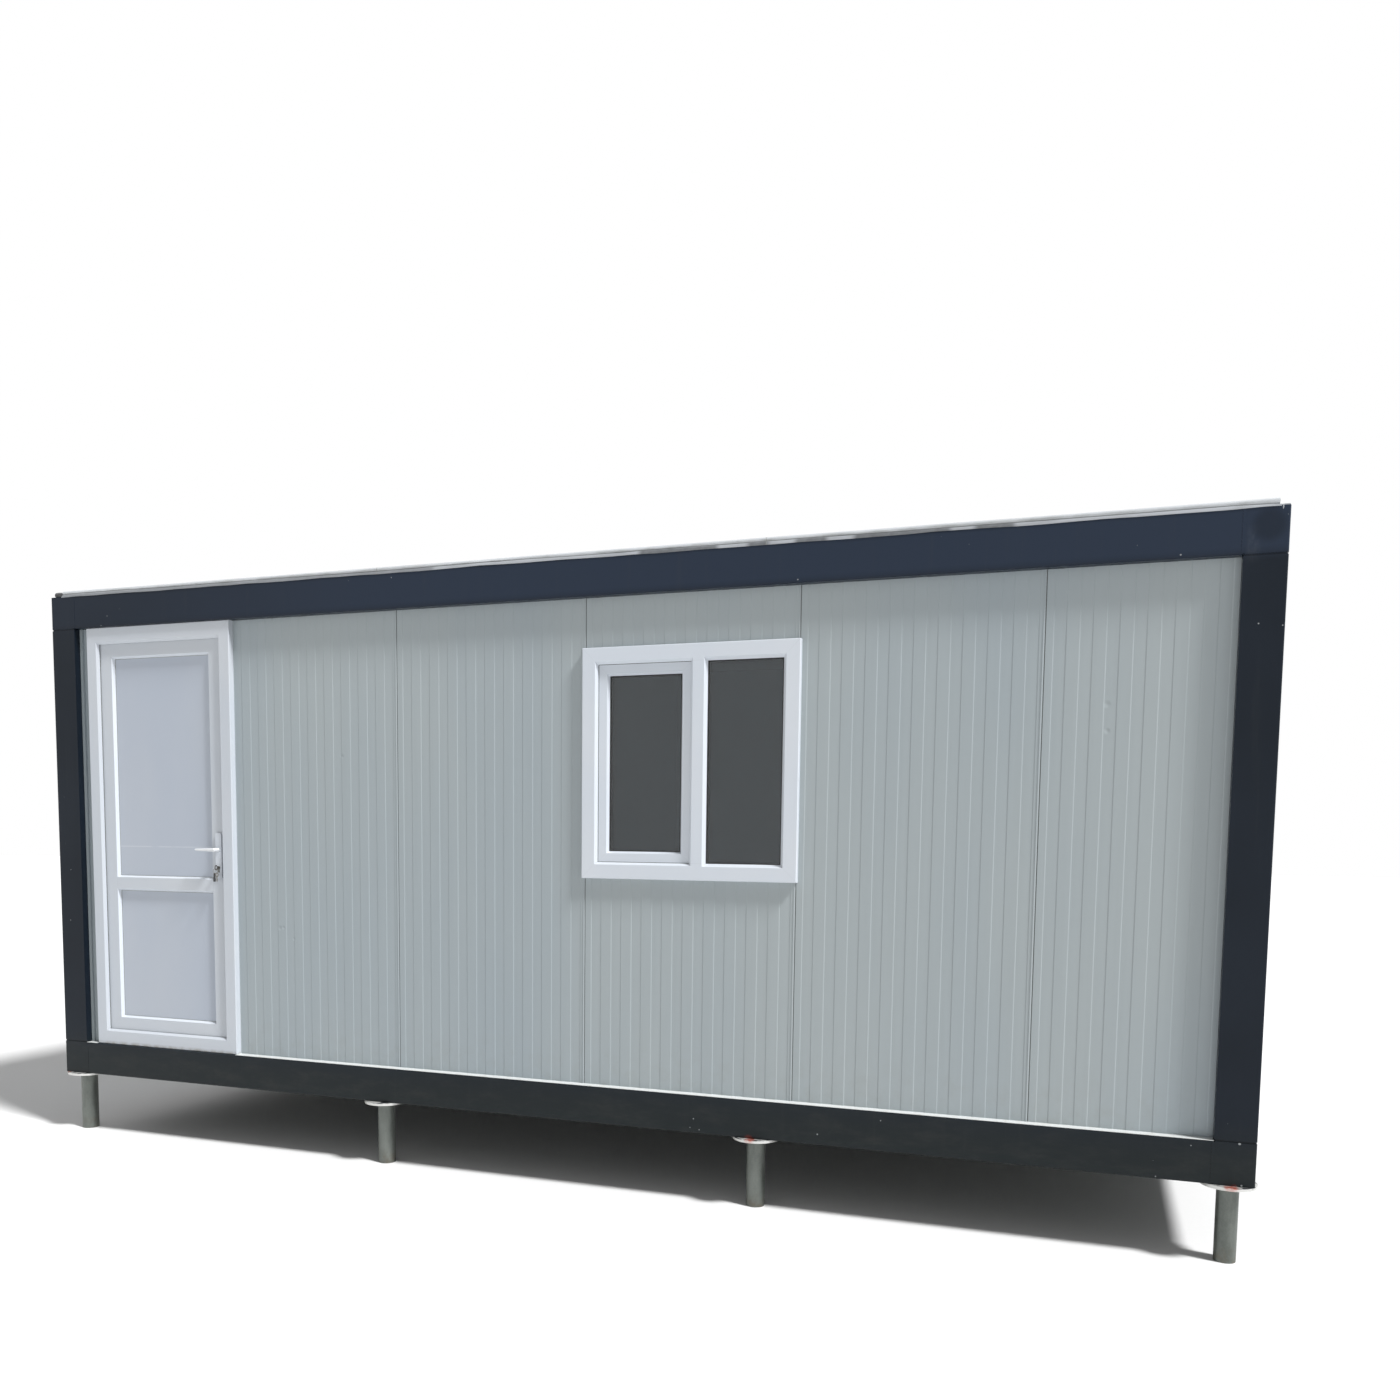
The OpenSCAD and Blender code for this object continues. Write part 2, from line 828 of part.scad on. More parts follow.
// Beads on both faces of the leaf
module door_beads() {
    inner_dep = leaf_t - infill_set - infill_t;
    color(white) {
        in_fields(leaf_front) {
            beads(infill_w, low_h, infill_set);
            beads(infill_w, high_h, infill_set);
        }
        in_fields(leaf_back) {
            mirror([0, 1, 0]) beads(infill_w, low_h, inner_dep);
            mirror([0, 1, 0]) beads(infill_w, high_h, inner_dep);
        }
    }
}

// Fixed lower knuckle, bracket on the frame and pin
module frame_hinges() {
    back = door_front + frame_dep;
    jamb = door_left + frame_face - frame_lap - stop_lap - leaf_gap;
    color(white) for (i = [0:1:hinges_n - 1]) {
        translate([hinge_x, hinge_y, hinge_first + i * hinge_step]) {
            cylinder(knuckle, r = hinge_r, $fn = middle_fn);
            cylinder(hinge_len - 2 * knuckle_gap, r = hinge_pin_r, $fn = middle_fn);
            translate([jamb - bracket_w - hinge_x, back - hinge_y, 0])
                cube([bracket_w, hinge_y - back + hinge_r / 2, knuckle]);
            translate([jamb - cut - hinge_x, -hinge_r / 2, 0])
                cube([hinge_x - jamb + cut, hinge_r, knuckle]);
        }
    }
}

// Moving upper knuckle and flap on the leaf
module leaf_hinges() {
    edge = leaf_x + 2 * knuckle_gap - hinge_x;
    color(white) for (i = [0:1:hinges_n - 1]) {
        translate([hinge_x, hinge_y, hinge_first + i * hinge_step + knuckle + knuckle_gap])
            difference() {
                union() {
                    cylinder(knuckle, r = hinge_r, $fn = middle_fn);
                    translate([edge, leaf_back - hinge_y, 0])
                        cube([flap_w, flap_t, knuckle]);
                    translate([edge, leaf_back - hinge_y, 0])
                        cube([hinge_r, hinge_y - leaf_back, knuckle]);
                }
                translate([0, 0, -cut])
                    cylinder(hinge_len, r = hinge_pin_r + pin_clear, $fn = middle_fn);
            }
    }
}

// Long plate with rounded ends, lying against the leaf and facing -Y
module long_plate() {
    rotate([90, 0, 0]) difference() {
        linear_extrude(plate_t)
            translate([-plate_w / 2, plate_up - plate_h])
                round_rect(plate_w, plate_h, plate_round);
        translate([0, 0, -cut])
            cylinder(plate_t + 2 * cut, r = neck_r + pin_clear, $fn = middle_fn);
        translate([0, -lock_drop, -cut])
            linear_extrude(plate_t + 2 * cut) lock_outline(lock_clear);
    }
}

module door_plates() {
    color(white) {
        translate([lever_x, leaf_front, lever_at]) long_plate();
        translate([lever_x, leaf_back, lever_at]) mirror([0, 1, 0]) long_plate();
    }
}

// Keyhole-shaped section of a lock cylinder
module lock_outline(extra) {
    circle(lock_r + extra, $fn = middle_fn);
    translate([-lock_w / 2 - extra, -lock_r - lock_body - extra])
        square([lock_w + 2 * extra, lock_r + lock_body + extra]);
}

// Lock body through the leaf, from y = 0 to its depth and past both ends
module lock_shape(depth, past, extra) {
    rotate([-90, 0, 0]) mirror([0, 1, 0])
        translate([0, 0, -past]) linear_extrude(depth + 2 * past) lock_outline(extra);
}

module door_lock() {
    color(silver)
        translate([lever_x, leaf_front, lever_at - lock_drop])
            lock_shape(leaf_t, plate_t + lock_out, 0);
}

// One lever facing -Y: neck, round elbow and a grip towards -X that tapers to its tip
module lever_half() {
    rotate([90, 0, 0]) cylinder(grip_out, r = neck_r, $fn = middle_fn);
    translate([0, -grip_out, 0]) {
        sphere(neck_r, $fn = small_fn);
        rotate([0, -90, 0]) cylinder(collar_len, r = grip_r, $fn = middle_fn);
        translate([-collar_len, 0, 0]) rotate([0, -90, 0])
            cylinder(grip_len - collar_len, grip_r, grip_tip_r, $fn = middle_fn);
        translate([-grip_len, 0, 0]) sphere(grip_tip_r, $fn = small_fn);
    }
}

module door_lever() {
    color(white) translate([lever_x, 0, lever_at]) {
        translate([0, leaf_front, 0]) lever_half();
        translate([0, leaf_back, 0]) mirror([0, 1, 0]) lever_half();
        translate([0, leaf_front - cut, 0]) rotate([-90, 0, 0])
            cylinder(leaf_t + 2 * cut, r = spindle_r, $fn = middle_fn);
    }
}

// Window

// Frame that laps over the panels, the mullion, and a pocket that the sash closes into
module window_frame() {
    color(white) difference() {
        union() {
            translate([win_x, window_front, win_z])
                bevelled_board(win_w, win_h, window_proud);
            translate([window_x, window_front + edge_bevel, window_z])
                cube([window_w, frame_dep - edge_bevel, window_h]);
        }
        translate([sash_x, window_front, light_z])
            bevelled_opening(sash_w, light_h, frame_dep);
        translate([fixed_x, window_front - cut, fixed_z])
            cube([fixed_w, frame_dep + 2 * cut, fixed_h]);
        translate([sash_x - stop_lap, window_front + window_stop, light_z - stop_lap])
            cube([sash_w + 2 * stop_lap, frame_dep, light_h + 2 * stop_lap]);
    }
}

// Opening sash on the left, shut behind the lip of the frame
module window_sash() {
    w = sash_w + 2 * stop_lap - 2 * sash_gap;
    h = light_h + 2 * stop_lap - 2 * sash_gap;
    bar = sash_face + stop_lap - sash_gap;
    color(white)
        translate([sash_x - stop_lap + sash_gap, sash_front, light_z - stop_lap + sash_gap])
            ring(w, h, frame_dep, bar);
}

// Places its child at the opening sash's field and at the fixed light's field
module in_lights(sash_y, fixed_y) {
    translate([sash_x + sash_face, sash_y, light_z + sash_face]) children(0);
    translate([fixed_x, fixed_y, fixed_z]) children(1);
}

// Beads in front of and behind both panes
module window_beads() {
    color(white) {
        in_lights(sash_front, window_front) {
            beads(sash_field_w, sash_field_h, infill_set);
            beads(fixed_w, fixed_h, infill_set, fixed_bead_w);
        }
        in_lights(sash_front + frame_dep, window_front + frame_dep) {
            mirror([0, 1, 0]) beads(sash_field_w, sash_field_h, inner_bead);
            mirror([0, 1, 0]) beads(fixed_w, fixed_h, inner_bead, fixed_bead_w);
        }
    }
}

// Double glass of both lights
module window_glass() {
    color(glass_tint) {
        for (y = [0, glass_t + glass_space]) {
            in_lights(sash_glass_y + y, fixed_glass_y + y) {
                cube([sash_field_w, glass_t, sash_field_h]);
                cube([fixed_w, glass_t, fixed_h]);
            }
        }
    }
}

// Metal spacer between the glass sheets
module glass_spacers() {
    color(silver) in_lights(sash_glass_y + glass_t, fixed_glass_y + glass_t) {
        ring(sash_field_w, sash_field_h, glass_space, bead_w + spacer_show);
        ring(fixed_w, fixed_h, glass_space, fixed_bead_w + spacer_show);
    }
}

// Turn handle on the room side of the sash
module window_handle() {
    back = sash_front + frame_dep;
    color(white) translate([sash_x + sash_w - sash_face / 2, back, light_z + light_h / 2]) {
        translate([-rose_w / 2, 0, -rose_h / 2]) rotate([-90, 0, 0]) mirror([0, 1, 0])
            linear_extrude(rose_t) round_rect(rose_w, rose_h, rose_r);
        rotate([-90, 0, 0]) cylinder(turn_gap + turn_t / 2, r = rose_r, $fn = middle_fn);
        translate([-turn_w / 2, turn_gap, rose_r - turn_len])
            cube([turn_w, turn_t, turn_len]);
    }
}

// Legs

// Tube with a round plate on top, standing at z = 0
module leg() {
    difference() {
        cylinder(leg_h - flange_t, d = leg_d, $fn = large_fn);
        translate([0, 0, -cut])
            cylinder(leg_h - flange_t + cut, d = leg_d - 2 * leg_t, $fn = large_fn);
    }
    translate([0, 0, leg_h - flange_t]) cylinder(flange_t, d = flange_d, $fn = large_fn);
}

module leg_row(y) {
    step = (cabin_len - 2 * leg_end) / (legs_n - 1);
    color(galvanised) for (i = [0:1:legs_n - 1]) {
        translate([x_left + leg_end + i * step, y, 0]) leg();
    }
}

module front_legs() {
    leg_row(y_front + leg_side);
}

module back_legs() {
    leg_row(-y_front - leg_side);
}

front_floor_beam();
back_floor_beam();
left_floor_beam();
right_floor_beam();
floor_corner_blocks();
floor_joists();
floor_board();
underfloor_sheet();
front_roof_beam();
back_roof_beam();
left_roof_beam();
right_roof_beam();
roof_corner_blocks();
roof_joists();
ceiling_lining();
roof_deck();
roof_covering();
front_left_post();
front_right_post();
back_left_post();
back_right_post();
base_sheets();
filler_strip();
front_panel_1();
front_panel_2();
panel_over_window();
panel_under_window();
front_panel_4();
front_panel_5();
back_wall();
left_wall();
right_wall();
door_frame();
door_leaf();
door_infills();
door_beads();
frame_hinges();
leaf_hinges();
door_plates();
door_lock();
door_lever();
window_frame();
window_sash();
window_beads();
window_glass();
glass_spacers();
window_handle();
front_legs();
back_legs();
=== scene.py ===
"""Looks of a portable site cabin: painted steel frame, ribbed panels, white door and window."""

import math

import bmesh
import bpy
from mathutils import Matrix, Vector, noise


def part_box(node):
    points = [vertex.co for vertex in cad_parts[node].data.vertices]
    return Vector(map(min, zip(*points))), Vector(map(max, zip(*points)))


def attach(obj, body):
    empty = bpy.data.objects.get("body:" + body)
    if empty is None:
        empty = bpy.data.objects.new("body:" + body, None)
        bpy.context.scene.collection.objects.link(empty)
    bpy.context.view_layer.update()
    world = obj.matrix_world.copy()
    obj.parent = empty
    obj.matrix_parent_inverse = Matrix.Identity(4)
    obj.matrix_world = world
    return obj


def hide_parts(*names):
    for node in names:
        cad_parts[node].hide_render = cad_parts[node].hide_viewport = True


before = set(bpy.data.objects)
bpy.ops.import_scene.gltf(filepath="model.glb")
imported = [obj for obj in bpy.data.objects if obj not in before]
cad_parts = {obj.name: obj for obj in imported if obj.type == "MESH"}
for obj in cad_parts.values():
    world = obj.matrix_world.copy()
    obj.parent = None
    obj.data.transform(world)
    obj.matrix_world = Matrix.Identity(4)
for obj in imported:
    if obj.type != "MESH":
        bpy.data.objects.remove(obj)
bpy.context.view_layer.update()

# Camera
# A hand-held camera at eye height, to the right of the cabin's middle. The picture is the upper
# part of a taller one, so the view is shifted up.
eye = Vector((2.3754, -6.0225, 1.6181))
view_turn = (85.297, -0.728, 19.052)
sensor = 36.0
photo_side = 1400
focal_pixels = 1150
horizon_pixels = 239.5

bpy.ops.object.camera_add(location=eye, rotation=[math.radians(a) for a in view_turn])
camera = bpy.context.object
camera.name = "camera"
camera.data.sensor_width = sensor
camera.data.lens = sensor * focal_pixels / photo_side
camera.data.shift_y = horizon_pixels / photo_side
camera.data.clip_end = 400
bpy.context.scene.camera = camera
bpy.context.scene.view_settings.view_transform = "Standard"


# Shader nodes as Python expressions
class Tone:
    """One output of a finish's nodes. Sums and products of tones add the Math nodes."""

    def __init__(self, socket):
        self.socket = socket

    def node(self, kind, settings, feeds, out=0):
        """Adds a node to the same finish, sets it, feeds its sockets and gives one output."""
        tree = self.socket.id_data
        made = tree.nodes.new("ShaderNode" + kind)
        for name, value in settings.items():
            setattr(made, name, value)
        for name, value in feeds.items():
            if isinstance(value, Tone):
                tree.links.new(value.socket, made.inputs[name])
            else:
                made.inputs[name].default_value = value
        return Tone(made.outputs[out])

    def math(self, operation, first, second):
        return self.node("Math", {"operation": operation}, {0: first, 1: second})

    def __add__(self, other):
        return self.math("ADD", self, other)

    __radd__ = __add__

    def __sub__(self, other):
        return self.math("SUBTRACT", self, other)

    def __rsub__(self, other):
        return self.math("SUBTRACT", other, self)

    def __mul__(self, other):
        return self.math("MULTIPLY", self, other)

    __rmul__ = __mul__

    def __abs__(self):
        return self.math("ABSOLUTE", self, 0)

    def fade(self, low, high):
        """0 below low, 1 above high, and smooth between them."""
        feeds = {"Value": self, "From Min": low, "From Max": high}
        return self.node("MapRange", {"interpolation_type": "SMOOTHSTEP"}, feeds)

    def band(self, middle, half, soft):
        """1 within half of the middle, fading to 0 over soft."""
        return 1 - abs(self - middle).fade(half, half + soft)

    def most(self, other):
        return self.math("MAXIMUM", self, other)

    def blend(self, below, above):
        """The colour below where this is 0, and above where it is 1."""
        feeds = {0: self}
        for slot, shade in ((6, below), (7, above)):
            feeds[slot] = shade if isinstance(shade, Tone) else (*shade, 1)
        return self.node("Mix", {"data_type": "RGBA"}, feeds, 2)

    def axis(self, letter):
        return self.node("SeparateXYZ", {}, {"Vector": self}, "XYZ".index(letter))

    def red(self):
        return self.node("SeparateColor", {}, {0: self}, 0)

    def stretched(self, scale):
        """These coordinates, scaled per axis."""
        return self.node("Mapping", {}, {"Vector": self, "Scale": scale})

    def noise(self, scale, detail=3.0, rough=0.5):
        """Soft noise from 0 to 1, with scale waves to a metre."""
        feeds = {"Vector": self, "Scale": scale, "Detail": detail, "Roughness": rough}
        return self.node("TexNoise", {}, feeds)

    def specks(self, per_metre, radius, share):
        """Round spots of a radius in metres in a share of the cells of a loose grid."""
        feeds = {"Vector": self, "Scale": per_metre}
        apart = self.node("TexVoronoi", {}, feeds, 0)
        lot = self.node("TexVoronoi", {}, feeds, 1).red()
        edge = radius * per_metre
        return (1 - apart.fade(0.6 * edge, edge)) * lot.fade(1 - share, 1.001 - share)

    def spot(self, place, radius, even=0.5):
        """1 within an even share of a radius of a place, fading to 0 at the radius."""
        feeds = {0: self, 1: place}
        apart = self.node("VectorMath", {"operation": "DISTANCE"}, feeds, 1)
        return 1 - apart.fade(radius * even, radius)

    def bump(self, distance):
        return self.node("Bump", {}, {"Height": self, "Distance": distance})


def finish(name, plain, gloss=0.5):
    """A new finish with its plain roughness and gloss, and the piece's own coordinates."""
    made = bpy.data.materials.new(name)
    made.use_nodes = True
    shader = made.node_tree.nodes["Principled BSDF"]
    shader.inputs["Roughness"].default_value = plain
    shader.inputs["Specular IOR Level"].default_value = gloss
    place = Tone(made.node_tree.nodes.new("ShaderNodeTexCoord").outputs["Object"])
    return made, shader, place


def feed(shader, **tones):
    """Links what varies over a surface to the shader's sockets."""
    for name, tone in tones.items():
        shader.id_data.links.new(tone.socket, shader.inputs[name.replace("_", " ")])


def dress(made, *names):
    """Gives CAD nodes their finish."""
    for name in names:
        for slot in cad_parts[name].material_slots:
            slot.material = made


# Studio
# A plain pale floor under an even white surround, with one broad key light from the upper
# right in front and a weak one from behind on the left.
floor_wide = 160
floor_grey = (0.80, 0.80, 0.80)
surround = 0.32
lamps = (("key_light", (38, 0, 74), 4.4, 9), ("fill_light", (-50, 0, 60), 0.5, 40))

bpy.ops.mesh.primitive_plane_add(size=floor_wide, location=(0, 0, 0))
studio_floor = bpy.context.object
studio_floor.name = "studio_floor"
floor_paper, floor_shader, floor_place = finish("floor_paper", 0.9, 0.1)
paper = floor_place.noise(40, 4).fade(0.2, 0.8)
feed(floor_shader, Base_Color=paper.blend([c * 0.985 for c in floor_grey], floor_grey))
studio_floor.data.materials.append(floor_paper)

world = bpy.data.worlds.new("surround")
bpy.context.scene.world = world
world.use_nodes = True
background = world.node_tree.nodes["Background"]
background.inputs["Color"].default_value = (1, 1, 1, 1)
ray = world.node_tree.nodes.new("ShaderNodeLightPath")
seen = Tone(ray.outputs["Is Camera Ray"]).most(Tone(ray.outputs["Is Glossy Ray"]))
seen = seen.most(Tone(ray.outputs["Is Transmission Ray"]))
strength = seen * (1 - surround) + surround
world.node_tree.links.new(strength.socket, background.inputs["Strength"])

for lamp_name, turn, power, softness in lamps:
    bpy.ops.object.light_add(type="SUN", rotation=[math.radians(a) for a in turn])
    lamp = bpy.context.object
    lamp.name = lamp_name
    lamp.data.energy = power
    lamp.data.angle = math.radians(softness)

# Steel frame
# Folded steel beams, corner blocks and posts in glossy anthracite enamel, sprayed after
# welding, with dust on the lower beams, small pale chips, and a corner that was ground off.
enamel_dark = (0.0060, 0.0100, 0.0165)
enamel_light = (0.0095, 0.0145, 0.0230)
enamel_low = (0.0120, 0.0165, 0.0185)
# A bluer enamel for the roof beams: a painted reflection of the sky, not a paint colour.
enamel_sky_reflection = (0.0190, 0.0290, 0.0500)
dust = (0.044, 0.045, 0.042)
chip = (0.42, 0.44, 0.45)
front_plane = -1.200
ground_off = (2.878, 2.765)
smudged = (2.930, front_plane, 2.830)
smudge_radius = 0.075
paint_spots = (
    (1.132, 2.740, 0.0035), (2.628, 2.740, 0.0040), (-2.659, 2.734, 0.0030),
    (-2.616, 2.782, 0.0025), (2.909, 2.470, 0.0035), (2.991, 2.460, 0.0030),
    (-2.934, 1.164, 0.0030), (0.695, 0.386, 0.0035), (0.679, 0.345, 0.0025),
    (0.723, 0.338, 0.0030), (1.267, 0.369, 0.0040), (2.640, 0.330, 0.0030),
    (2.764, 0.467, 0.0030), (2.937, 0.490, 0.0060), (-2.920, 1.440, 0.0025),
    (2.951, 0.326, 0.0045),
)
red_primer = (0.16, 0.026, 0.014)
primer_smears = ((0.955, 0.317, 0.026), (2.925, 0.318, 0.014))

enamel, enamel_shader, at = finish("anthracite_enamel", 0.3, 0.17)
cloud = at.noise(1.3, 4).fade(0.3, 0.7)
low_down = 1 - at.axis("Z").fade(0.38, 0.60)
dusty = low_down * at.stretched((3, 3, 9)).noise(2.0, 6, 0.7).fade(0.40, 0.85)
runs = at.stretched((26, 26, 1.2)).noise(1.0, 4, 0.6).fade(0.55, 0.8)
chips = at.specks(7, 0.0028, 0.35).most(at.specks(19, 0.0012, 0.22))
for x, z, radius in paint_spots:
    chips = chips.most(at.spot((x, front_plane, z), radius))
ground = at.axis("X").band(ground_off[0], 0.004, 0.028)
ground = ground * at.axis("Z").band(ground_off[1], 0.020, 0.060)
ground = ground * at.stretched((14, 14, 9)).noise(1.0, 4, 0.6).fade(0.30, 0.65)
streaks = ground * at.stretched((110, 110, 9)).noise(1.0, 4, 0.7).fade(0.50, 0.80)
smudge = at.spot(smudged, smudge_radius)
shade = cloud.blend(enamel_dark, enamel_light)
# The roof beams painted bluer, less so towards the left end: a painted reflection of the sky.
sky_reflection_mask = at.axis("Z").fade(2.70, 2.76) * (at.axis("X").fade(-2.9, -0.5) * 0.7 + 0.3)
shade = low_down.blend(shade, enamel_low)
shade = sky_reflection_mask.blend(shade, enamel_sky_reflection)
shade = (ground * 0.07 + streaks * 0.16).blend(shade, chip)
shade = (smudge * 0.5).blend(shade, enamel_dark)
shade = (dusty * 0.40).blend(shade, dust)
shade = (runs * 0.10).blend(shade, dust)
shade = (chips * 0.7).blend(shade, chip)
for x, z, radius in primer_smears:
    worn = at.spot((x, front_plane, z), radius) * at.noise(45, 3, 0.5).fade(0.15, 0.60)
    shade = (worn * 0.45).blend(shade, red_primer)
peel = at.noise(260, 2) * 0.18 + at.noise(5, 2) * 0.9
feed(
    enamel_shader,
    Base_Color=shade,
    Roughness=0.28 + cloud * 0.05 + dusty * 0.25 + runs * 0.08 + chips * 0.2 + ground * 0.12,
    Normal=peel.bump(0.0011),
)
dress(
    enamel,
    "front_floor_beam", "back_floor_beam", "left_floor_beam", "right_floor_beam",
    "floor_corner_blocks", "front_roof_beam", "back_roof_beam", "left_roof_beam",
    "right_roof_beam", "roof_corner_blocks", "front_left_post", "front_right_post",
    "back_left_post", "back_right_post",
)


# Welds of the frame
# Butt welds between the beams and the corner blocks, ground almost flush before spraying, and
# beads at the outer corners. The seed keeps every uneven shape the same in each run.
def block(name, low, high):
    """A box between two corners, alone selected, with its place in its mesh."""
    bpy.ops.object.select_all(action="DESELECT")
    bpy.ops.mesh.primitive_cube_add(size=1, location=[(a + b) / 2 for a, b in zip(low, high)])
    made = bpy.context.object
    made.name = name
    made.scale = [b - a for a, b in zip(low, high)]
    bpy.ops.object.transform_apply()
    return made


def choose(made, wanted, kind="FACE"):
    """Selects, in edit mode, only the faces or edges that a test wants."""
    bpy.ops.object.mode_set(mode="EDIT")
    bpy.ops.mesh.select_mode(type=kind)
    bpy.ops.mesh.select_all(action="DESELECT")
    shape = bmesh.from_edit_mesh(made.data)
    for part in shape.faces if kind == "FACE" else shape.edges:
        part.select_set(bool(wanted(part)))
    bmesh.update_edit_mesh(made.data)


def slices(axis, places):
    """Cuts the mesh in edit mode across at places along an axis."""
    for place in places:
        bpy.ops.mesh.select_all(action="SELECT")
        spot = [place if i == axis else 0 for i in range(3)]
        bpy.ops.mesh.bisect(plane_co=spot, plane_no=[int(i == axis) for i in range(3)])


def uneven(made, length, reach):
    """Moves a piece's points by a smooth noise of a length and a reach in metres."""
    bpy.ops.object.mode_set(mode="OBJECT")
    for point in made.data.vertices:
        point.co += noise.noise_vector(point.co / length) * reach


def rounded(made, levels):
    """Rounds the active piece by subdivision, and applies it."""
    rounder = made.modifiers.new("rounder", "SUBSURF")
    rounder.levels = rounder.render_levels = levels
    bpy.ops.object.modifier_apply(modifier="rounder")


def together(name, pieces):
    """Joins pieces into one."""
    bpy.ops.object.mode_set(mode="OBJECT")
    bpy.ops.object.select_all(action="DESELECT")
    for piece in pieces:
        piece.select_set(True)
    bpy.context.view_layer.objects.active = pieces[0]
    bpy.ops.object.join()
    bpy.context.object.name = name
    return bpy.context.object


def hand_over(made, coat, body="cabin", crisp=40):
    """Gives a finished piece its smooth shading, its finish and its body."""
    bpy.ops.object.mode_set(mode="OBJECT")
    bpy.ops.object.select_all(action="DESELECT")
    made.select_set(True)
    bpy.context.view_layer.objects.active = made
    bpy.ops.object.shade_smooth_by_angle(angle=math.radians(crisp))
    made.data.materials.clear()
    made.data.materials.append(coat)
    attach(made, body)


noise_seed = 4
weld_wide = 0.013
weld_proud = 0.0007
weld_end = 0.004
weld_step = 0.012
weld_steps = 13
bead_size = 0.015
bead_tall = 0.014
bead_in = 0.0015
post_low, post_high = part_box("front_left_post")
block_edge = -post_high[0]
half_long = -post_low[0]
half_deep = -post_low[1]
end_edge = -post_high[1]
floor_level = [c[2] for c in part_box("front_floor_beam")]
roof_level = [c[2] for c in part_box("front_roof_beam")]

noise.seed_set(noise_seed)
welds = []
for bottom, top in (floor_level, roof_level):
    for along in (-1, 1):
        for across in (-1, 1):
            x, y = along * block_edge, across * half_deep
            strip = block("weld", (x - weld_wide / 2, y - weld_proud, bottom + weld_end),
                          (x + weld_wide / 2, y + weld_proud, top - weld_end))
            welds.append(strip)
            x, y = along * half_long, across * end_edge
            strip = block("weld", (x - weld_proud, y - weld_wide / 2, bottom + weld_end),
                          (x + weld_proud, y + weld_wide / 2, top - weld_end))
            welds.append(strip)
frame_welds = together("frame_welds", welds)
bpy.ops.object.mode_set(mode="EDIT")
for bottom, top in (floor_level, roof_level):
    slices(2, [bottom + weld_step * i for i in range(1, weld_steps + 1)])
uneven(frame_welds, 0.014, weld_proud)

beads = []
for bottom, top in ((floor_level[1], post_low[2]), (post_high[2], roof_level[0])):
    for along in (-1, 1):
        for across in (-1, 1):
            x = along * (half_long - bead_in - bead_size / 2)
            y = across * (half_deep - bead_in - bead_size / 2)
            low = (x - bead_size / 2, y - bead_size / 2, (bottom + top - bead_tall) / 2)
            high = (x + bead_size / 2, y + bead_size / 2, (bottom + top + bead_tall) / 2)
            bead = block("bead", low, high)
            rounded(bead, 2)
            uneven(bead, 0.006, 0.0012)
            beads.append(bead)
frame_welds = together("frame_welds", [frame_welds] + beads)
hand_over(frame_welds, enamel)

# Joists, floor, ceiling and deck
# Square steel tubes in the same enamel, a phenolic floor board, white ceiling boards, and
# galvanised sheets below and above.
dress(enamel, "floor_joists", "roof_joists")

board, board_shader, at = finish("floor_board", 0.55, 0.35)
grain = at.stretched((1.2, 22, 22)).noise(6, 6, 0.6)
feed(
    board_shader,
    Base_Color=grain.fade(0.3, 0.7).blend((0.20, 0.115, 0.055), (0.33, 0.21, 0.115)),
    Roughness=0.5 + grain * 0.2,
    Normal=grain.bump(0.0006),
)
dress(board, "floor_board")

lining, lining_shader, at = finish("white_lining", 0.5, 0.35)
speckle = at.noise(90, 4)
feed(
    lining_shader,
    Base_Color=speckle.blend((0.66, 0.66, 0.64), (0.74, 0.74, 0.73)),
    Roughness=0.45 + speckle * 0.15,
    Normal=speckle.bump(0.0004),
)
dress(lining, "ceiling_lining")

# Legs
# Hot-dip galvanised tubes with a round plate welded on top, some of the frame's enamel
# sprayed on the plates and a few spots of orange primer.
zinc_dark = (0.108, 0.121, 0.110)
zinc_light = (0.195, 0.210, 0.195)
plate_white = (0.72, 0.72, 0.70)
plate_top = 0.320
plate_thick = 0.012
plate_radius = 0.106
tube_radius = 0.042
legs_a_side = 4
primer = (0.50, 0.075, 0.03)
primer_spots = ((-2.985, -1.200, 0.030), (0.966, -1.218, 0.030), (2.913, -1.220, 0.034),
                (-0.985, 1.215, 0.022))
weld_round = 0.0036

zinc, zinc_shader, at = finish("galvanised_steel", 0.42, 0.5)
zinc_shader.inputs["Metallic"].default_value = 0.6
spangle = at.node("TexVoronoi", {}, {"Vector": at, "Scale": 190}, 1).red()
wash = at.stretched((8, 8, 3)).noise(2.2, 6, 0.65).fade(0.3, 0.75)
foot = 1 - at.axis("Z").fade(0.0, 0.09)
soil = foot * at.noise(35, 4).fade(0.35, 0.7)
shade = (spangle * 0.18 + wash * 0.82).blend(zinc_dark, zinc_light)
height = at.axis("Z") - plate_top
plates = height.fade(-0.0135, -0.0125) * (1 - height.fade(0.010, 0.020))
shade = (plates * 0.9).blend(shade, plate_white)
overspray = height.fade(-0.0030, -0.0004) * at.noise(30, 3).fade(0.40, 0.62)
shade = overspray.blend(shade, enamel_light)
for x, y, radius in primer_spots:
    bare = at.spot((x, y, plate_top), radius) * at.noise(60, 4, 0.55).fade(0.20, 0.60)
    shade = (bare * (height.fade(-0.0060, -0.0005) * 0.5 + 0.40)).blend(shade, primer)
shade = (soil * 0.6).blend(shade, (0.12, 0.10, 0.07))
feed(
    zinc_shader,
    Base_Color=shade,
    Roughness=0.36 + wash * 0.16 + spangle * 0.06,
    Normal=(spangle * 0.1 + wash).bump(0.0004),
)
dress(zinc, "front_legs", "back_legs", "underfloor_sheet", "roof_deck")

first_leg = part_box("front_legs")[0]
leg_x = first_leg[0] + plate_radius
leg_y = first_leg[1] + plate_radius
leg_pitch = -2 * leg_x / (legs_a_side - 1)

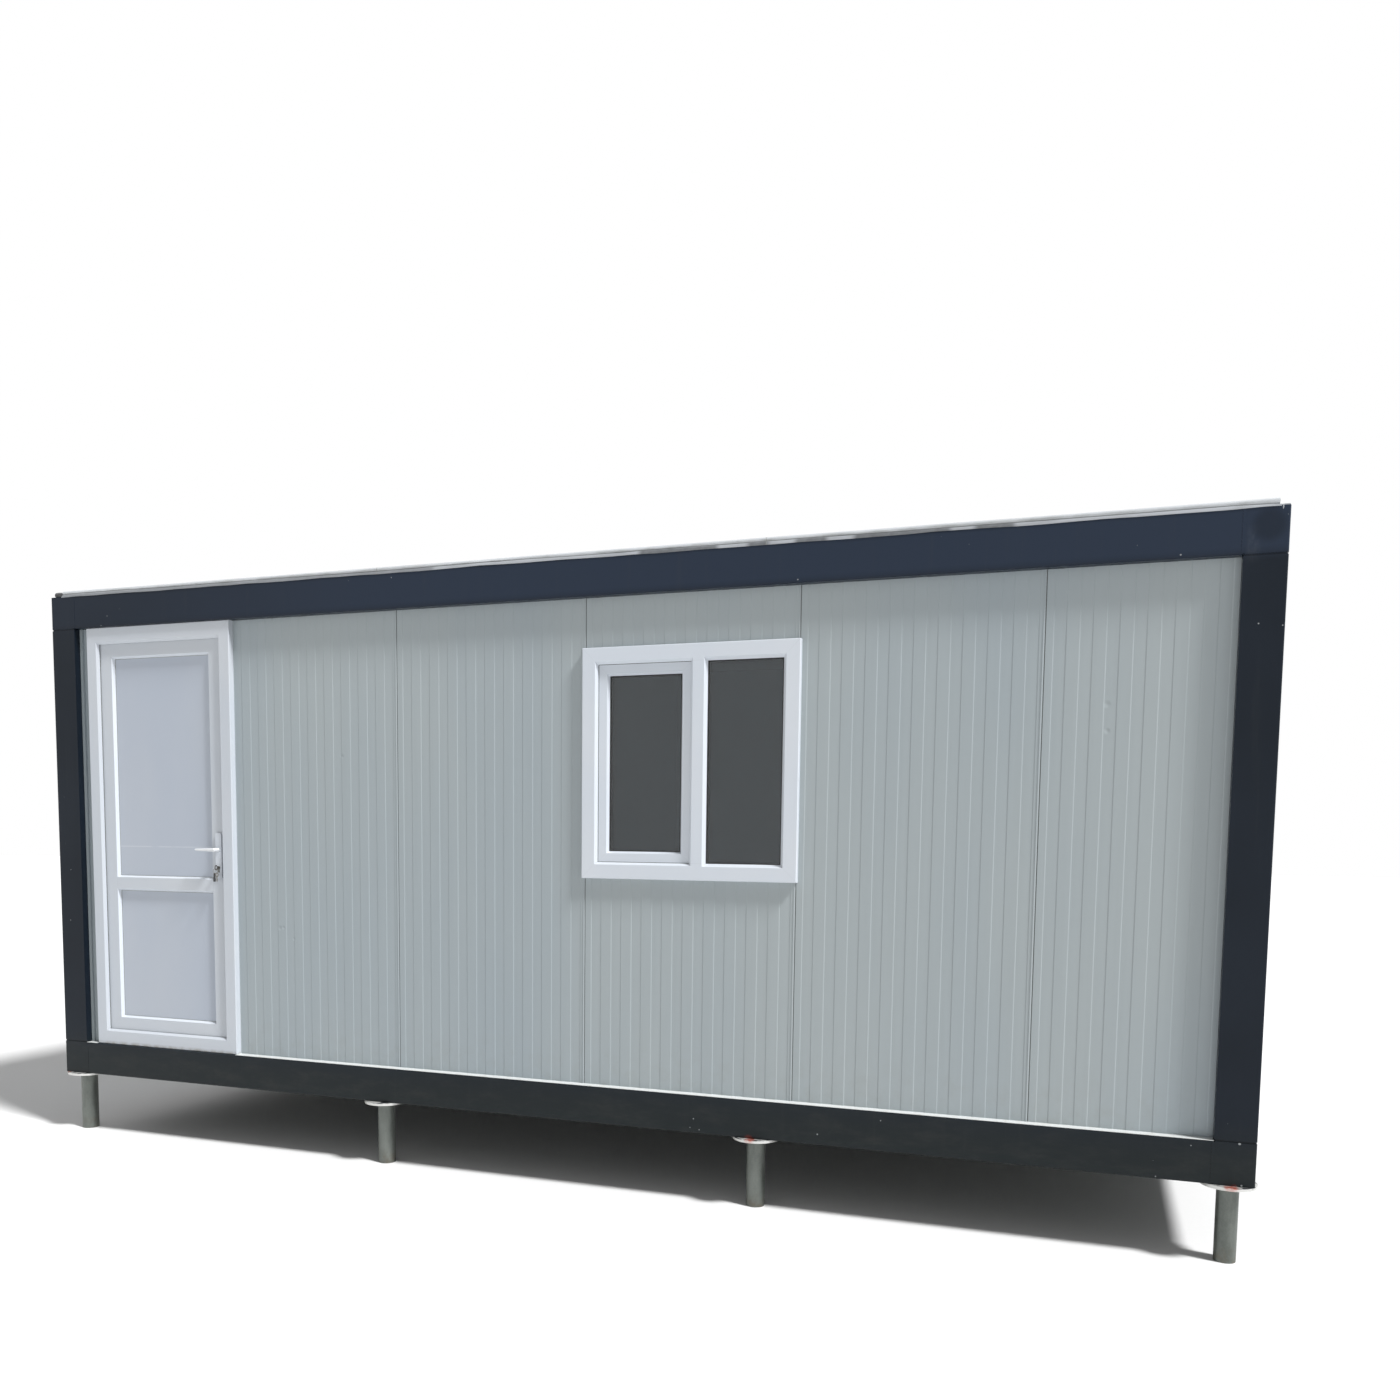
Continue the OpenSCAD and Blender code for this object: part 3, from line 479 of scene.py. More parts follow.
fillets = []
for i in range(legs_a_side):
    for y in (leg_y, -leg_y):
        bpy.ops.object.select_all(action="DESELECT")
        bpy.ops.mesh.primitive_torus_add(
            location=(leg_x + i * leg_pitch, y, plate_top - plate_thick - 0.0008),
            major_radius=tube_radius,
            minor_radius=weld_round,
            major_segments=40,
            minor_segments=6,
        )
        bpy.ops.object.transform_apply()
        fillet = bpy.context.object
        uneven(fillet, 0.006, 0.0013)
        fillets.append(fillet)
leg_welds = together("leg_welds", fillets)
hand_over(leg_welds, zinc)

# Wall panels
# Sandwich panels with a light grey coated steel sheet on both sides, rolled into shallow
# upright ribs, and a few small dents.
sheet_cool = (0.322, 0.370, 0.398)
sheet_warm = (0.358, 0.398, 0.410)
sheet_plane = -1.155
dents = ((2.386, 2.192, 0.017), (2.390, 2.087, 0.015), (-1.192, 2.035, 0.014),
         (-1.582, 1.165, 0.016), (-1.560, 1.168, 0.012), (-1.497, 1.112, 0.012))

sheet, sheet_shader, at = finish("light_grey_sheet", 0.4, 0.4)
wide = at.stretched((1, 1, 0.25)).noise(1.1, 3).fade(0.3, 0.7)
wavy = at.stretched((9, 9, 0.35)).noise(1.0, 3, 0.5)
rain = at.stretched((40, 40, 0.8)).noise(1.0, 4, 0.6).fade(0.55, 0.85)
splash = 1 - at.axis("Z").fade(0.50, 0.78)
splash = splash * at.noise(14, 5, 0.65).fade(0.42, 0.75)
shade = wide.blend(sheet_cool, sheet_warm)
shade = (rain * 0.06).blend(shade, (0.20, 0.21, 0.20))
shade = (splash * 0.14).blend(shade, (0.24, 0.22, 0.18))
relief = wavy * 1.0 + at.noise(420, 2) * 0.05
for x, z, radius in dents:
    relief = relief - at.spot((x, sheet_plane, z), radius, 0) * 0.8
feed(
    sheet_shader,
    Base_Color=shade,
    Roughness=0.36 + wide * 0.05 + splash * 0.2 + rain * 0.08,
    Normal=relief.bump(0.0022),
)
dress(
    sheet,
    "front_panel_1", "front_panel_2", "panel_over_window", "panel_under_window",
    "front_panel_4", "front_panel_5", "back_wall", "left_wall", "right_wall",
    "filler_strip",
)

# Panel joints
# The folded edge of one sheet stands slightly proud of the next and slopes down to it, and a
# strip of grey foam tape fills the joint to just below the face.
joint_wide = 0.004
strip_set = 0.0012
strip_thick = 0.004
strip_over = 0.0004
lip_wide = 0.0065
lip_proud = 0.0020
lip_under = 0.0006
lip_slope = 0.0017
lip_round = 0.0003
panel_pitch = 1.004
first_side = 0.086
window_joints = (1, 2)
front_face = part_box("front_panel_4")[0][1]
front_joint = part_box("front_panel_4")[0][0]
wall_foot, wall_head = (c[2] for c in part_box("front_panel_4"))
window_low, window_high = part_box("window_frame")

stretches = []
for i in range(4):
    place = front_joint - joint_wide / 2 + (i - 2) * panel_pitch
    if i in window_joints:
        stretches.append(("front", place, wall_foot, window_low[2]))
        stretches.append(("front", place, window_high[2], wall_head))
    else:
        stretches.append(("front", place, wall_foot, wall_head))
for i in range(6):
    stretches.append(("back", block_edge - first_side - i * panel_pitch, wall_foot, wall_head))
for i in range(2):
    stretches.append(("left", end_edge - first_side - i * panel_pitch, wall_foot, wall_head))
    stretches.append(("right", first_side - end_edge + i * panel_pitch, wall_foot, wall_head))


def on_wall(name, wide, deep, tall, long_side):
    """A box that spans wide along a wall, deep across it and tall in height."""
    sides = (wide, deep, tall) if long_side else (deep, wide, tall)
    return block(name, [side[0] for side in sides], [side[1] for side in sides])


strips = []
lips = []
for side, place, bottom, top in stretches:
    outward = 1 if side in ("back", "right") else -1
    long_side = side in ("front", "back")
    across, out = (0, 1) if long_side else (1, 0)
    along = outward if long_side else -outward
    face = outward * (-front_face if long_side else half_long - half_deep - front_face)
    deep = sorted((face - outward * strip_set, face - outward * (strip_set + strip_thick)))
    proud = sorted((face - outward * lip_under, face + outward * lip_proud))
    wide = [place + way * (joint_wide / 2 + strip_over) for way in (-1, 1)]
    edge = place + along * joint_wide / 2
    edges = sorted((edge, edge + along * lip_wide))
    strip = on_wall("strip", wide, deep, (bottom, top), long_side)
    lip = on_wall("lip", edges, proud, (bottom, top), long_side)
    for point in lip.data.vertices:
        if abs(point.co[across] - edge) < 1e-4 and (point.co[out] - face) * outward > 1e-4:
            point.co[out] -= outward * lip_slope
    choose(lip, lambda cut: abs((cut.verts[0].co - cut.verts[1].co).z) > 0.1, "EDGE")
    bpy.ops.mesh.bevel(offset=lip_round, segments=2)
    bpy.ops.object.mode_set(mode="OBJECT")
    strips.append(strip)
    lips.append(lip)


def rubber(name, dark, light, grain, plain=0.55):
    """A matt rubber or foam between two shades, with grain waves to a metre."""
    made, shader, at = finish(name, 0.6, 0.35)
    matt = at.noise(grain, 3)
    feed(shader, Base_Color=matt.blend(dark, light), Roughness=plain + matt * 0.2,
         Normal=matt.bump(0.0004))
    return made


foam_tape = rubber("foam_tape", (0.11, 0.12, 0.12), (0.17, 0.18, 0.18), 120, 0.6)
joint_strips = together("joint_strips", strips)
hand_over(joint_strips, foam_tape)
joint_lips = together("joint_lips", lips)
hand_over(joint_lips, sheet)

# Flashing under the walls
# Folded pale sheet on the floor beams, dusty in its corners. Its colour is set lighter
# than the sheet's own pale grey: a painted highlight on the lit ledge.
flashing, flashing_shader, at = finish("pale_flashing_painted_highlight", 0.4, 0.45)
settled = at.noise(22, 5, 0.65).fade(0.45, 0.75)
# The light end of this blend is partly a painted highlight on the ledge.
feed(
    flashing_shader,
    Base_Color=(settled * 0.4).blend((0.66, 0.68, 0.68), (0.36, 0.34, 0.29)),
    Roughness=0.35 + settled * 0.3,
    Normal=at.noise(7.5, 3).bump(0.002),
)
dress(flashing, "base_sheets")

# Roof covering
# A white membrane over the deck. It is rolled over the roof's edge, pressed into a crease
# under the roll, and bonded down along an uneven hem. Its white is set greyer and the hem
# darker: painted shade on the front faces. Outside a few clean stretches the hem is darker
# still, with dirt and painted shade, and the crease is painted dark: painted shade and dirt.
cover_low, cover_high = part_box("roof_covering")
beam_top = roof_level[1]
roll_wide = 0.040
roll_round = 0.008
field_drop = 0.007
hem_rise = 0.004
crease_rise = 0.013
roll_rise = 0.019
wave_step = 0.11
sway_long = 0.5
ripple_long = 0.13
hem_out = 0.0052
hem_drop = 0.0035
hem_upper_out = 0.0034
crease_in = 0.0022
crease_end = 2.88
crease_run = 0.07
crease_fall = 0.010
sheet_joints = (-0.95, 0.99)
clean_lit_hems = ((-0.62, 0.39), (0.79, 0.89), (1.02, 1.10), (1.27, 1.35), (1.78, 1.84), (2.03, 3.1))
# The hem's darker colour is painted shade.
hem_painted_shade = (0.235, 0.250, 0.280)
# The hem's darkest colour outside the clean stretches: dirt and painted shade.
hem_dirt_and_shade = (0.075, 0.080, 0.085)

roof_membrane = block("roof_membrane", (cover_low[0], cover_low[1], beam_top), cover_high)
choose(roof_membrane, lambda face: face.normal.z > 0.5)
bpy.ops.mesh.inset(thickness=roll_wide)
bpy.ops.mesh.extrude_region_move(TRANSFORM_OT_translate={"value": (0, 0, -field_drop)})


def on_the_roll(edge):
    """Whether an edge runs along the top of the membrane's raised rim."""
    run = edge.verts[0].co - edge.verts[1].co
    on_top = all(v.co.z > cover_high[2] - 0.001 for v in edge.verts)
    return on_top and min(abs(run.x), abs(run.y)) < 1e-5


choose(roof_membrane, on_the_roll, "EDGE")
bpy.ops.mesh.bevel(offset=roll_round, segments=3)
slices(2, [beam_top + rise for rise in (hem_rise, crease_rise, roll_rise)])
for axis in (0, 1):
    count = int((cover_high[axis] - cover_low[axis]) / wave_step)
    slices(axis, [cover_low[axis] + wave_step * i for i in range(1, count + 1)])
bpy.ops.object.mode_set(mode="OBJECT")
near = 0.0005
crease = roof_membrane.data.attributes.new("crease", "FLOAT", "POINT")
for i, point in enumerate(roof_membrane.data.vertices):
    x, y, z = point.co
    rise = z - beam_top
    sway = noise.noise_vector(Vector((x / sway_long, y / sway_long, 3)))
    ripple = noise.noise_vector(Vector((x / ripple_long, y / ripple_long, 9)))
    out = Vector((0, 0, 0))
    for axis in (0, 1):
        if abs(point.co[axis] - cover_low[axis]) < near:
            out[axis] = -1
        if abs(point.co[axis] - cover_high[axis]) < near:
            out[axis] = 1
    if abs(rise - crease_rise) < near:
        fall = min(1, max(0, (x - crease_end) / crease_run)) * crease_fall
        point.co += out * (0.0012 * ripple.x - crease_in)
        point.co.z += 0.004 * sway.y - 0.003 * sway.x - fall
        crease.data[i].value = 1
    elif rise < near:
        point.co += out * (hem_out + 0.0008 * ripple.y)
        point.co.z += (0.0040 * ripple.x + 0.0020 * sway.y - hem_drop) * out.length
    elif rise < hem_rise + near:
        point.co += out * (hem_upper_out + 0.0008 * ripple.z)
        point.co.z += 0.0015 * sway.z + 0.0012 * ripple.x
    elif rise < roll_rise + near:
        point.co += out * (0.0010 + 0.0015 * ripple.y)
        point.co.z += 0.0015 * sway.x
    else:
        point.co.z += 0.0016 * sway.z + 0.0008 * ripple.z - 0.001

membrane, membrane_shader, at = finish("white_membrane", 0.55, 0.35)
attribute = membrane_shader.id_data.nodes.new("ShaderNodeAttribute")
attribute.attribute_name = "crease"
# The crease painted dark: painted shade, with some dirt.
crease_painted_shade = Tone(attribute.outputs["Fac"]).fade(0.55, 1.0)
stain = at.noise(1.8, 6, 0.62).fade(0.42, 0.75)
edge_dirt = at.stretched((7, 7, 30)).noise(1.0, 5, 0.65).fade(0.40, 0.68)
height = at.axis("Z") - beam_top
edge_dirt = edge_dirt * (1 - height.fade(0.018, 0.028))
laps = 0
for x in sheet_joints:
    laps = at.axis("X").band(x, 0.0008, 0.002).most(laps)
# A greyer white than the membrane's own: partly painted shade on its front faces.
shade = (stain * 0.25).blend((0.57, 0.595, 0.62), (0.38, 0.38, 0.35))
shade = (edge_dirt * 0.45).blend(shade, (0.20, 0.21, 0.19))
# The lowest centimetre, the hem, painted darker: painted shade.
hem = 1 - height.fade(0.007, 0.015)
shade = (hem * 0.60).blend(shade, hem_painted_shade)
clean_lit = 0
for start, end in clean_lit_hems:
    stretch = at.axis("X").band((start + end) / 2, (end - start) / 2, 0.035)
    clean_lit = stretch.most(clean_lit)
# Outside the clean stretches, darker still towards the right: dirt and painted shade.
hem_dirt_and_shade_mask = hem * (1 - clean_lit) * (at.axis("X").fade(0.0, 0.4) * 0.34 + 0.50)
shade = (hem_dirt_and_shade_mask * (at.noise(30, 4, 0.6) * 0.6 + 0.66)).blend(shade, hem_dirt_and_shade)
shade = (crease_painted_shade * 0.7).blend(shade, (0.12, 0.125, 0.12))
shade = (laps * 0.6).blend(shade, (0.25, 0.25, 0.23))
feed(
    membrane_shader,
    Base_Color=shade,
    Roughness=0.5 + stain * 0.2,
    Normal=(at.noise(6, 4) * 0.5 + laps * 0.2).bump(0.003),
)
hand_over(roof_membrane, membrane)
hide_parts("roof_covering")

# Sealing at the roof's ends
# A lump of black mastic that closes the membrane at the front left corner, and a thin smear of
# white adhesive, with a drip, on the block at the front right corner.
lump_rise = 0.034
lump_deep = 0.116
lump_under = 0.012
lump_over = 0.014
smear_thick = 0.0045
smear_step = 0.006
drip_long = 0.020

corner_mastic = block(
    "corner_mastic",
    (-half_long + 0.016, -half_deep - 0.006, beam_top - lump_under),
    (cover_low[0] + lump_over, -half_deep - 0.006 + lump_deep, beam_top + lump_rise),
)
bpy.ops.object.mode_set(mode="EDIT")
slices(0, [-half_long + 0.040, cover_low[0] - 0.012])
bpy.ops.object.mode_set(mode="OBJECT")
rounded(corner_mastic, 3)
uneven(corner_mastic, 0.022, 0.006)
bpy.ops.object.mode_set(mode="EDIT")
bpy.ops.mesh.select_all(action="SELECT")
bpy.ops.mesh.bisect(
    plane_co=(0, 0, beam_top - 0.003), plane_no=(0, 0, 1), clear_inner=True, use_fill=True
)
mastic, mastic_shader, at = finish("black_mastic", 0.35, 0.5)
lumpy = at.noise(60, 4, 0.6)
feed(mastic_shader, Base_Color=lumpy.blend((0.016, 0.017, 0.018), (0.05, 0.052, 0.055)),
     Roughness=0.3 + lumpy * 0.3, Normal=lumpy.bump(0.003))
hand_over(corner_mastic, mastic)

smear = block(
    "smear",
    (cover_high[0] - 0.012, -half_deep + 0.0005, beam_top - 0.001),
    (half_long - 0.003, -half_deep + 0.026, beam_top + smear_thick),
)
bpy.ops.object.mode_set(mode="EDIT")
slices(0, [cover_high[0] + smear_step * i for i in range(-1, 7)])
uneven(smear, 0.012, 0.0016)
drip = block(
    "drip",
    (half_long - 0.0300, -half_deep - 0.0018, beam_top + 0.004 - drip_long),
    (half_long - 0.0245, -half_deep + 0.003, beam_top + 0.004),
)
rounded(drip, 3)
edge_adhesive = together("edge_adhesive", [smear, drip])
hand_over(edge_adhesive, membrane)

# Door and window profiles
# White plastic profiles with steel inside, cut at 45 degrees and welded at their corners, which
# leaves a fine scraped line at each mitre.
# Both whites have a blue tint that is painted shade: the cool cast of skylit shade.
pvc_cool = (0.60, 0.645, 0.705)
pvc_warm = (0.63, 0.665, 0.71)
frame_soil = (0.26, 0.23, 0.18)
# The door's profiles painted darker than the window's: painted shade on the door.
door_painted_shade = 0.86
mitre_half = 0.0005
mitre_soft = 0.0006


def plastic(name, node=None, face=0.0, butts=(), shade_scale=1.0):
    """The white plastic, darker by a factor of painted shade, with weld lines at a node's corners
    and at butts.
    """
    made, shader, at = finish(name, 0.28, 0.5)
    x, z = at.axis("X"), at.axis("Z")
    yellow = at.noise(2.0, 4).fade(0.3, 0.8)
    rubbed = at.noise(7, 3, 0.55).fade(0.35, 0.95)
    shade = yellow.blend([c * shade_scale for c in pvc_cool], [c * shade_scale for c in pvc_warm])
    soil = (1 - z.fade(wall_foot - 0.004, wall_foot + 0.022)) * at.noise(26, 4).fade(0.3, 0.7)
    shade = (soil * 0.75).blend(shade, frame_soil)
    bumps = at.noise(240, 2) * 0.03
    if node:
        low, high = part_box(node)
        aside = (high[0] - low[0]) / 2 - abs(x - (low[0] + high[0]) / 2)
        upward = (high[2] - low[2]) / 2 - abs(z - (low[2] + high[2]) / 2)
        seam = (aside - upward).band(0, mitre_half, mitre_soft)
        seam = seam * (1 - aside.fade(face, face + 0.001))
        for across, place, start, end in butts:
            line, reach = (x, z) if across == "X" else (z, x)
            inside = reach.fade(start - 0.001, start) * (1 - reach.fade(end, end + 0.001))
            seam = seam.most(line.band(place, mitre_half, mitre_soft) * inside)
        shade = (seam * 0.22).blend(shade, (0.30, 0.32, 0.34))
        bumps = bumps - seam * 0.4
    feed(
        shader,
        Base_Color=shade,
        Roughness=0.285 + yellow * 0.03 + rubbed * 0.05 + soil * 0.3,
        Normal=bumps.bump(0.0006),
    )
    return made


lip_lap = 0.015
door_face = 0.085
stile = 0.087
window_face = 0.070
sash_bar = 0.055
field_low, field_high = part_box("door_infills")
mid_rail = (1.345, 1.405)
mullion = (0.649, 0.711)
sash_low, sash_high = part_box("window_sash")
sash_open = (sash_low[2] + lip_lap, sash_high[2] - lip_lap)

dress(plastic("door_frame_plastic", "door_frame", door_face, shade_scale=door_painted_shade), "door_frame")
leaf_butts = [("X", x, *mid_rail) for x in (field_low[0], field_high[0])]
dress(plastic("leaf_plastic", "door_leaf", stile, leaf_butts, door_painted_shade), "door_leaf")
mullion_butts = [("Z", z, *mullion) for z in sash_open]
dress(plastic("window_frame_plastic", "window_frame", window_face, mullion_butts),
      "window_frame")
dress(plastic("sash_plastic", "window_sash", sash_bar), "window_sash")
dress(plastic("plain_plastic"), "door_beads", "frame_hinges", "leaf_hinges", "window_beads",
      "window_handle")

# Door panels
# Foam-filled infill panels with a smooth white skin, a little greyer and bluer than the
# profiles: that grey and blue are partly painted shade.
reflection_line_z = 1.572

skin, skin_shader, at = finish("infill_skin", 0.3, 0.5)
drift = at.stretched((1, 1, 0.4)).noise(1.6, 4).fade(0.3, 0.75)
smudge = at.noise(6, 3, 0.55).fade(0.45, 0.9)
# A soft light line across the upper panel: a painted reflection.
reflection_line = at.axis("Z").band(reflection_line_z, 0.001, 0.004) * at.noise(7, 2).fade(0.3, 0.5)
# A greyer, bluer white: partly painted shade.
shade = drift.blend((0.415, 0.458, 0.53), (0.465, 0.50, 0.55))
shade = (reflection_line * 0.35).blend(shade, (0.66, 0.68, 0.71))
skin_wave = at.stretched((4, 4, 1.5)).noise(1.0, 3)
feed(
    skin_shader,
    Base_Color=shade,
    Roughness=0.285 + drift * 0.05 + smudge * 0.14,
    Normal=(skin_wave * 0.8 + at.noise(300, 2) * 0.02).bump(0.0012),
)
dress(skin, "door_infills")

# Door fittings
# Die-cast plates and lever in white powder coat, a nickel lock cylinder, and in the window's
# double glazing a bright spacer.
# One powder coat in two copies: the plates a darker white as painted shade, the lever a brighter
# white as a painted highlight.
for node, white in (("door_plates", (0.58, 0.62, 0.675)), ("door_lever", (0.70, 0.72, 0.74))):
    coat, coat_shader, at = finish(node + "_coat", 0.35, 0.5)
    grain = at.noise(700, 2)
    touched = at.noise(40, 4).fade(0.5, 0.8)
    feed(
        coat_shader,
        Base_Color=(touched * 0.2).blend(white, (0.46, 0.46, 0.45)),
        Roughness=0.3 + touched * 0.15,
        Normal=grain.bump(0.00006),
    )
    dress(coat, node)


def nickel(name, dark, light):
    """Nickel between two shades, worn in spots."""
    made, shader, at = finish(name, 0.3, 0.5)
    shader.inputs["Metallic"].default_value = 1.0
    worn = at.noise(220, 4)
    feed(shader, Base_Color=worn.blend(dark, light), Roughness=0.28 + worn * 0.2)
    return made


# The lock's nickel set far darker than bright nickel: painted shade on the lock's face.
dress(nickel("lock_nickel_painted_shade", (0.12, 0.12, 0.115), (0.21, 0.21, 0.20)), "door_lock")
dress(nickel("bright_nickel", (0.42, 0.42, 0.41), (0.62, 0.62, 0.60)), "glass_spacers")


# Rubber seals
# Strips of rubber: round the doorway behind the lip, where the leaf closes on them, between the
# beads and the infill panels or the panes, and round the opening sash.
def rubber_ring(name, low, high, wide, front, back, rounding):
    """A strip round the outside of a rectangle in X and Z, with rounded front edges."""
    ring = block(name, (low[0] - wide, front, low[1] - wide),
                 (high[0] + wide, back, high[1] + wide))
    choose(ring, lambda face: abs(face.normal.y) > 0.5)
    bpy.ops.mesh.inset(thickness=wide)
    bpy.ops.mesh.bridge_edge_loops()

    def front_edge(edge):
        run = edge.verts[0].co - edge.verts[1].co
        square = min(abs(run.x), abs(run.z)) < 1e-5
        return square and all(v.co.y < front + 1e-5 for v in edge.verts)

    choose(ring, front_edge, "EDGE")
    bpy.ops.mesh.bevel(offset=rounding, segments=2)
    bpy.ops.object.mode_set(mode="OBJECT")
    return ring


leaf_low, leaf_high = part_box("door_leaf")
door_lip_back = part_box("door_frame")[0][1] + 0.015
lock_side_lap = 0.011
seal_wide = 0.008
seal_in = 0.0015
seal_gap = 0.0002
seal_round = 0.001
door_seal = rubber_ring(
    "door_seal",
    (leaf_low[0] + lip_lap - seal_in, leaf_low[2] + lip_lap - seal_in),
    (leaf_high[0] - lock_side_lap + seal_in, leaf_high[2] - lip_lap + seal_in),
    seal_wide, door_lip_back - seal_gap, leaf_low[1] - seal_gap, seal_round,
)
# The door seal's dark olive grey stands partly for the shade under the frame's head lip: painted
# shade on a real seal.
grey_rubber = rubber("grey_rubber", (0.075, 0.080, 0.070), (0.11, 0.115, 0.10), 160)
hand_over(door_seal, grey_rubber)

door_bead = 0.011
gasket_wide = 0.0016
gasket_over = 0.0004
gasket_proud = 0.0016
gasket_round = 0.0007
infill_front = field_low[1]
inside = door_bead + gasket_wide
gaskets = []
for bottom, top in ((field_low[2], mid_rail[0]), (mid_rail[1], field_high[2])):
    gaskets.append(rubber_ring(
        "gasket", (field_low[0] + inside, bottom + inside), (field_high[0] - inside, top - inside),
        gasket_wide + gasket_over, infill_front - gasket_proud, infill_front + 0.0003, gasket_round,
    ))
infill_gaskets = together("infill_gaskets", gaskets)
pale_rubber = rubber("pale_rubber", (0.23, 0.24, 0.23), (0.30, 0.31, 0.30), 160)
hand_over(infill_gaskets, pale_rubber, "door")

sash_face = 0.040
fixed_face = 0.061
sash_bead = 0.011
fixed_bead = 0.016
pane_gasket = 0.0038
pane_gasket_proud = 0.0022
pane_gasket_round = 0.0008
pane_in = 0.017
sash_glass = sash_low[1] + pane_in
fixed_glass = window_low[1] + pane_in
opening_left = sash_low[0] + lip_lap
panes = (
    (opening_left + sash_face, sash_open[0] + sash_face, mullion[0] - sash_face,
     sash_open[1] - sash_face, sash_bead, sash_glass),
    (mullion[1], window_low[2] + fixed_face, window_high[0] - fixed_face,
     window_high[2] - fixed_face, fixed_bead, fixed_glass),
)
gaskets = []
for left, bottom, right, top, bead_wide, glass_y in panes:
    inside = bead_wide + pane_gasket
    gaskets.append(rubber_ring(
        "gasket", (left + inside, bottom + inside), (right - inside, top - inside),
        pane_gasket + 0.0006, glass_y - pane_gasket_proud, glass_y - 0.0001, pane_gasket_round,
    ))
sash_seal_in = 0.0018
sash_seal_wide = 0.0030
sash_seal_proud = 0.0014
sash_seal_round = 0.0006
sash_seal = rubber_ring(
    "sash_seal",
    (opening_left + sash_seal_in, sash_open[0] + sash_seal_in),
    (mullion[0] - sash_seal_in, sash_open[1] - sash_seal_in),
    sash_seal_wide, sash_low[1] - sash_seal_proud, sash_low[1] + 0.0002, sash_seal_round,
)
window_gaskets = together("window_gaskets", gaskets)
black_rubber = rubber("black_rubber", (0.018, 0.019, 0.020), (0.034, 0.035, 0.036), 180)
hand_over(window_gaskets, black_rubber)
hand_over(sash_seal, grey_rubber)

# Keys
# The key in the lock, with a ring through its bow that carries a second key and a black fob.
lock_low, lock_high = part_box("door_lock")
lock_x = (lock_low[0] + lock_high[0]) / 2
lock_front = lock_low[1]
key_z = 1.468
key_thick = 0.0024
shank_half = 0.0042
bow_out = 0.0165
ring_radius = 0.0125
ring_wire = 0.0009
blade_half = 0.0042
blade_low = 0.036
blade_top = 0.0095
notch_deep = 0.0022
notches = (3, 6, 18, 21)
fob_waist = 1.415
fob_top = 1.4415


def bow(name, middle, radii, flat_axis, hole):
    """A flat oval key head with a round hole, thin along one axis."""
    bpy.ops.object.select_all(action="DESELECT")
    turn = (0, math.radians(90), 0) if flat_axis == 0 else (math.radians(90), 0, 0)
    bpy.ops.mesh.primitive_cylinder_add(
        vertices=28, radius=1, depth=key_thick, location=middle, rotation=turn
    )
    made = bpy.context.object
    made.name = name
    bpy.ops.object.transform_apply()
    for point in made.data.vertices:
        away = point.co - Vector(middle)
        for axis in range(3):
            if axis != flat_axis:
                away[axis] *= radii[axis]
        point.co = Vector(middle) + away
    choose(made, lambda face: abs(face.normal[flat_axis]) > 0.5)
    bpy.ops.mesh.inset(thickness=hole)
    bpy.ops.mesh.bridge_edge_loops()
    choose(made, lambda edge: edge.calc_face_angle(0) > 1, "EDGE")
    bpy.ops.mesh.bevel(offset=0.0004, segments=2)
    bpy.ops.object.mode_set(mode="OBJECT")
    return made


in_lock = bow("bow", (lock_x, lock_front - bow_out, key_z), (1, 0.0115, 0.014), 0, 0.0062)
shank = block("shank", (lock_x - key_thick / 2, lock_front - 0.006, key_z - shank_half),
              (lock_x + key_thick / 2, lock_front + 0.004, key_z + shank_half))
choose(shank, lambda edge: edge.verts[0].co.z != edge.verts[1].co.z, "EDGE")
bpy.ops.mesh.bevel(offset=0.0003, segments=1)
bpy.ops.object.mode_set(mode="OBJECT")
ring_middle = Vector((lock_x - 0.002, lock_front - 0.0195, key_z - 0.0165))
bpy.ops.object.select_all(action="DESELECT")
bpy.ops.mesh.primitive_torus_add(
    location=ring_middle, rotation=(math.radians(90), 0, math.radians(12)),
    major_radius=ring_radius, minor_radius=ring_wire, major_segments=40, minor_segments=8,
)
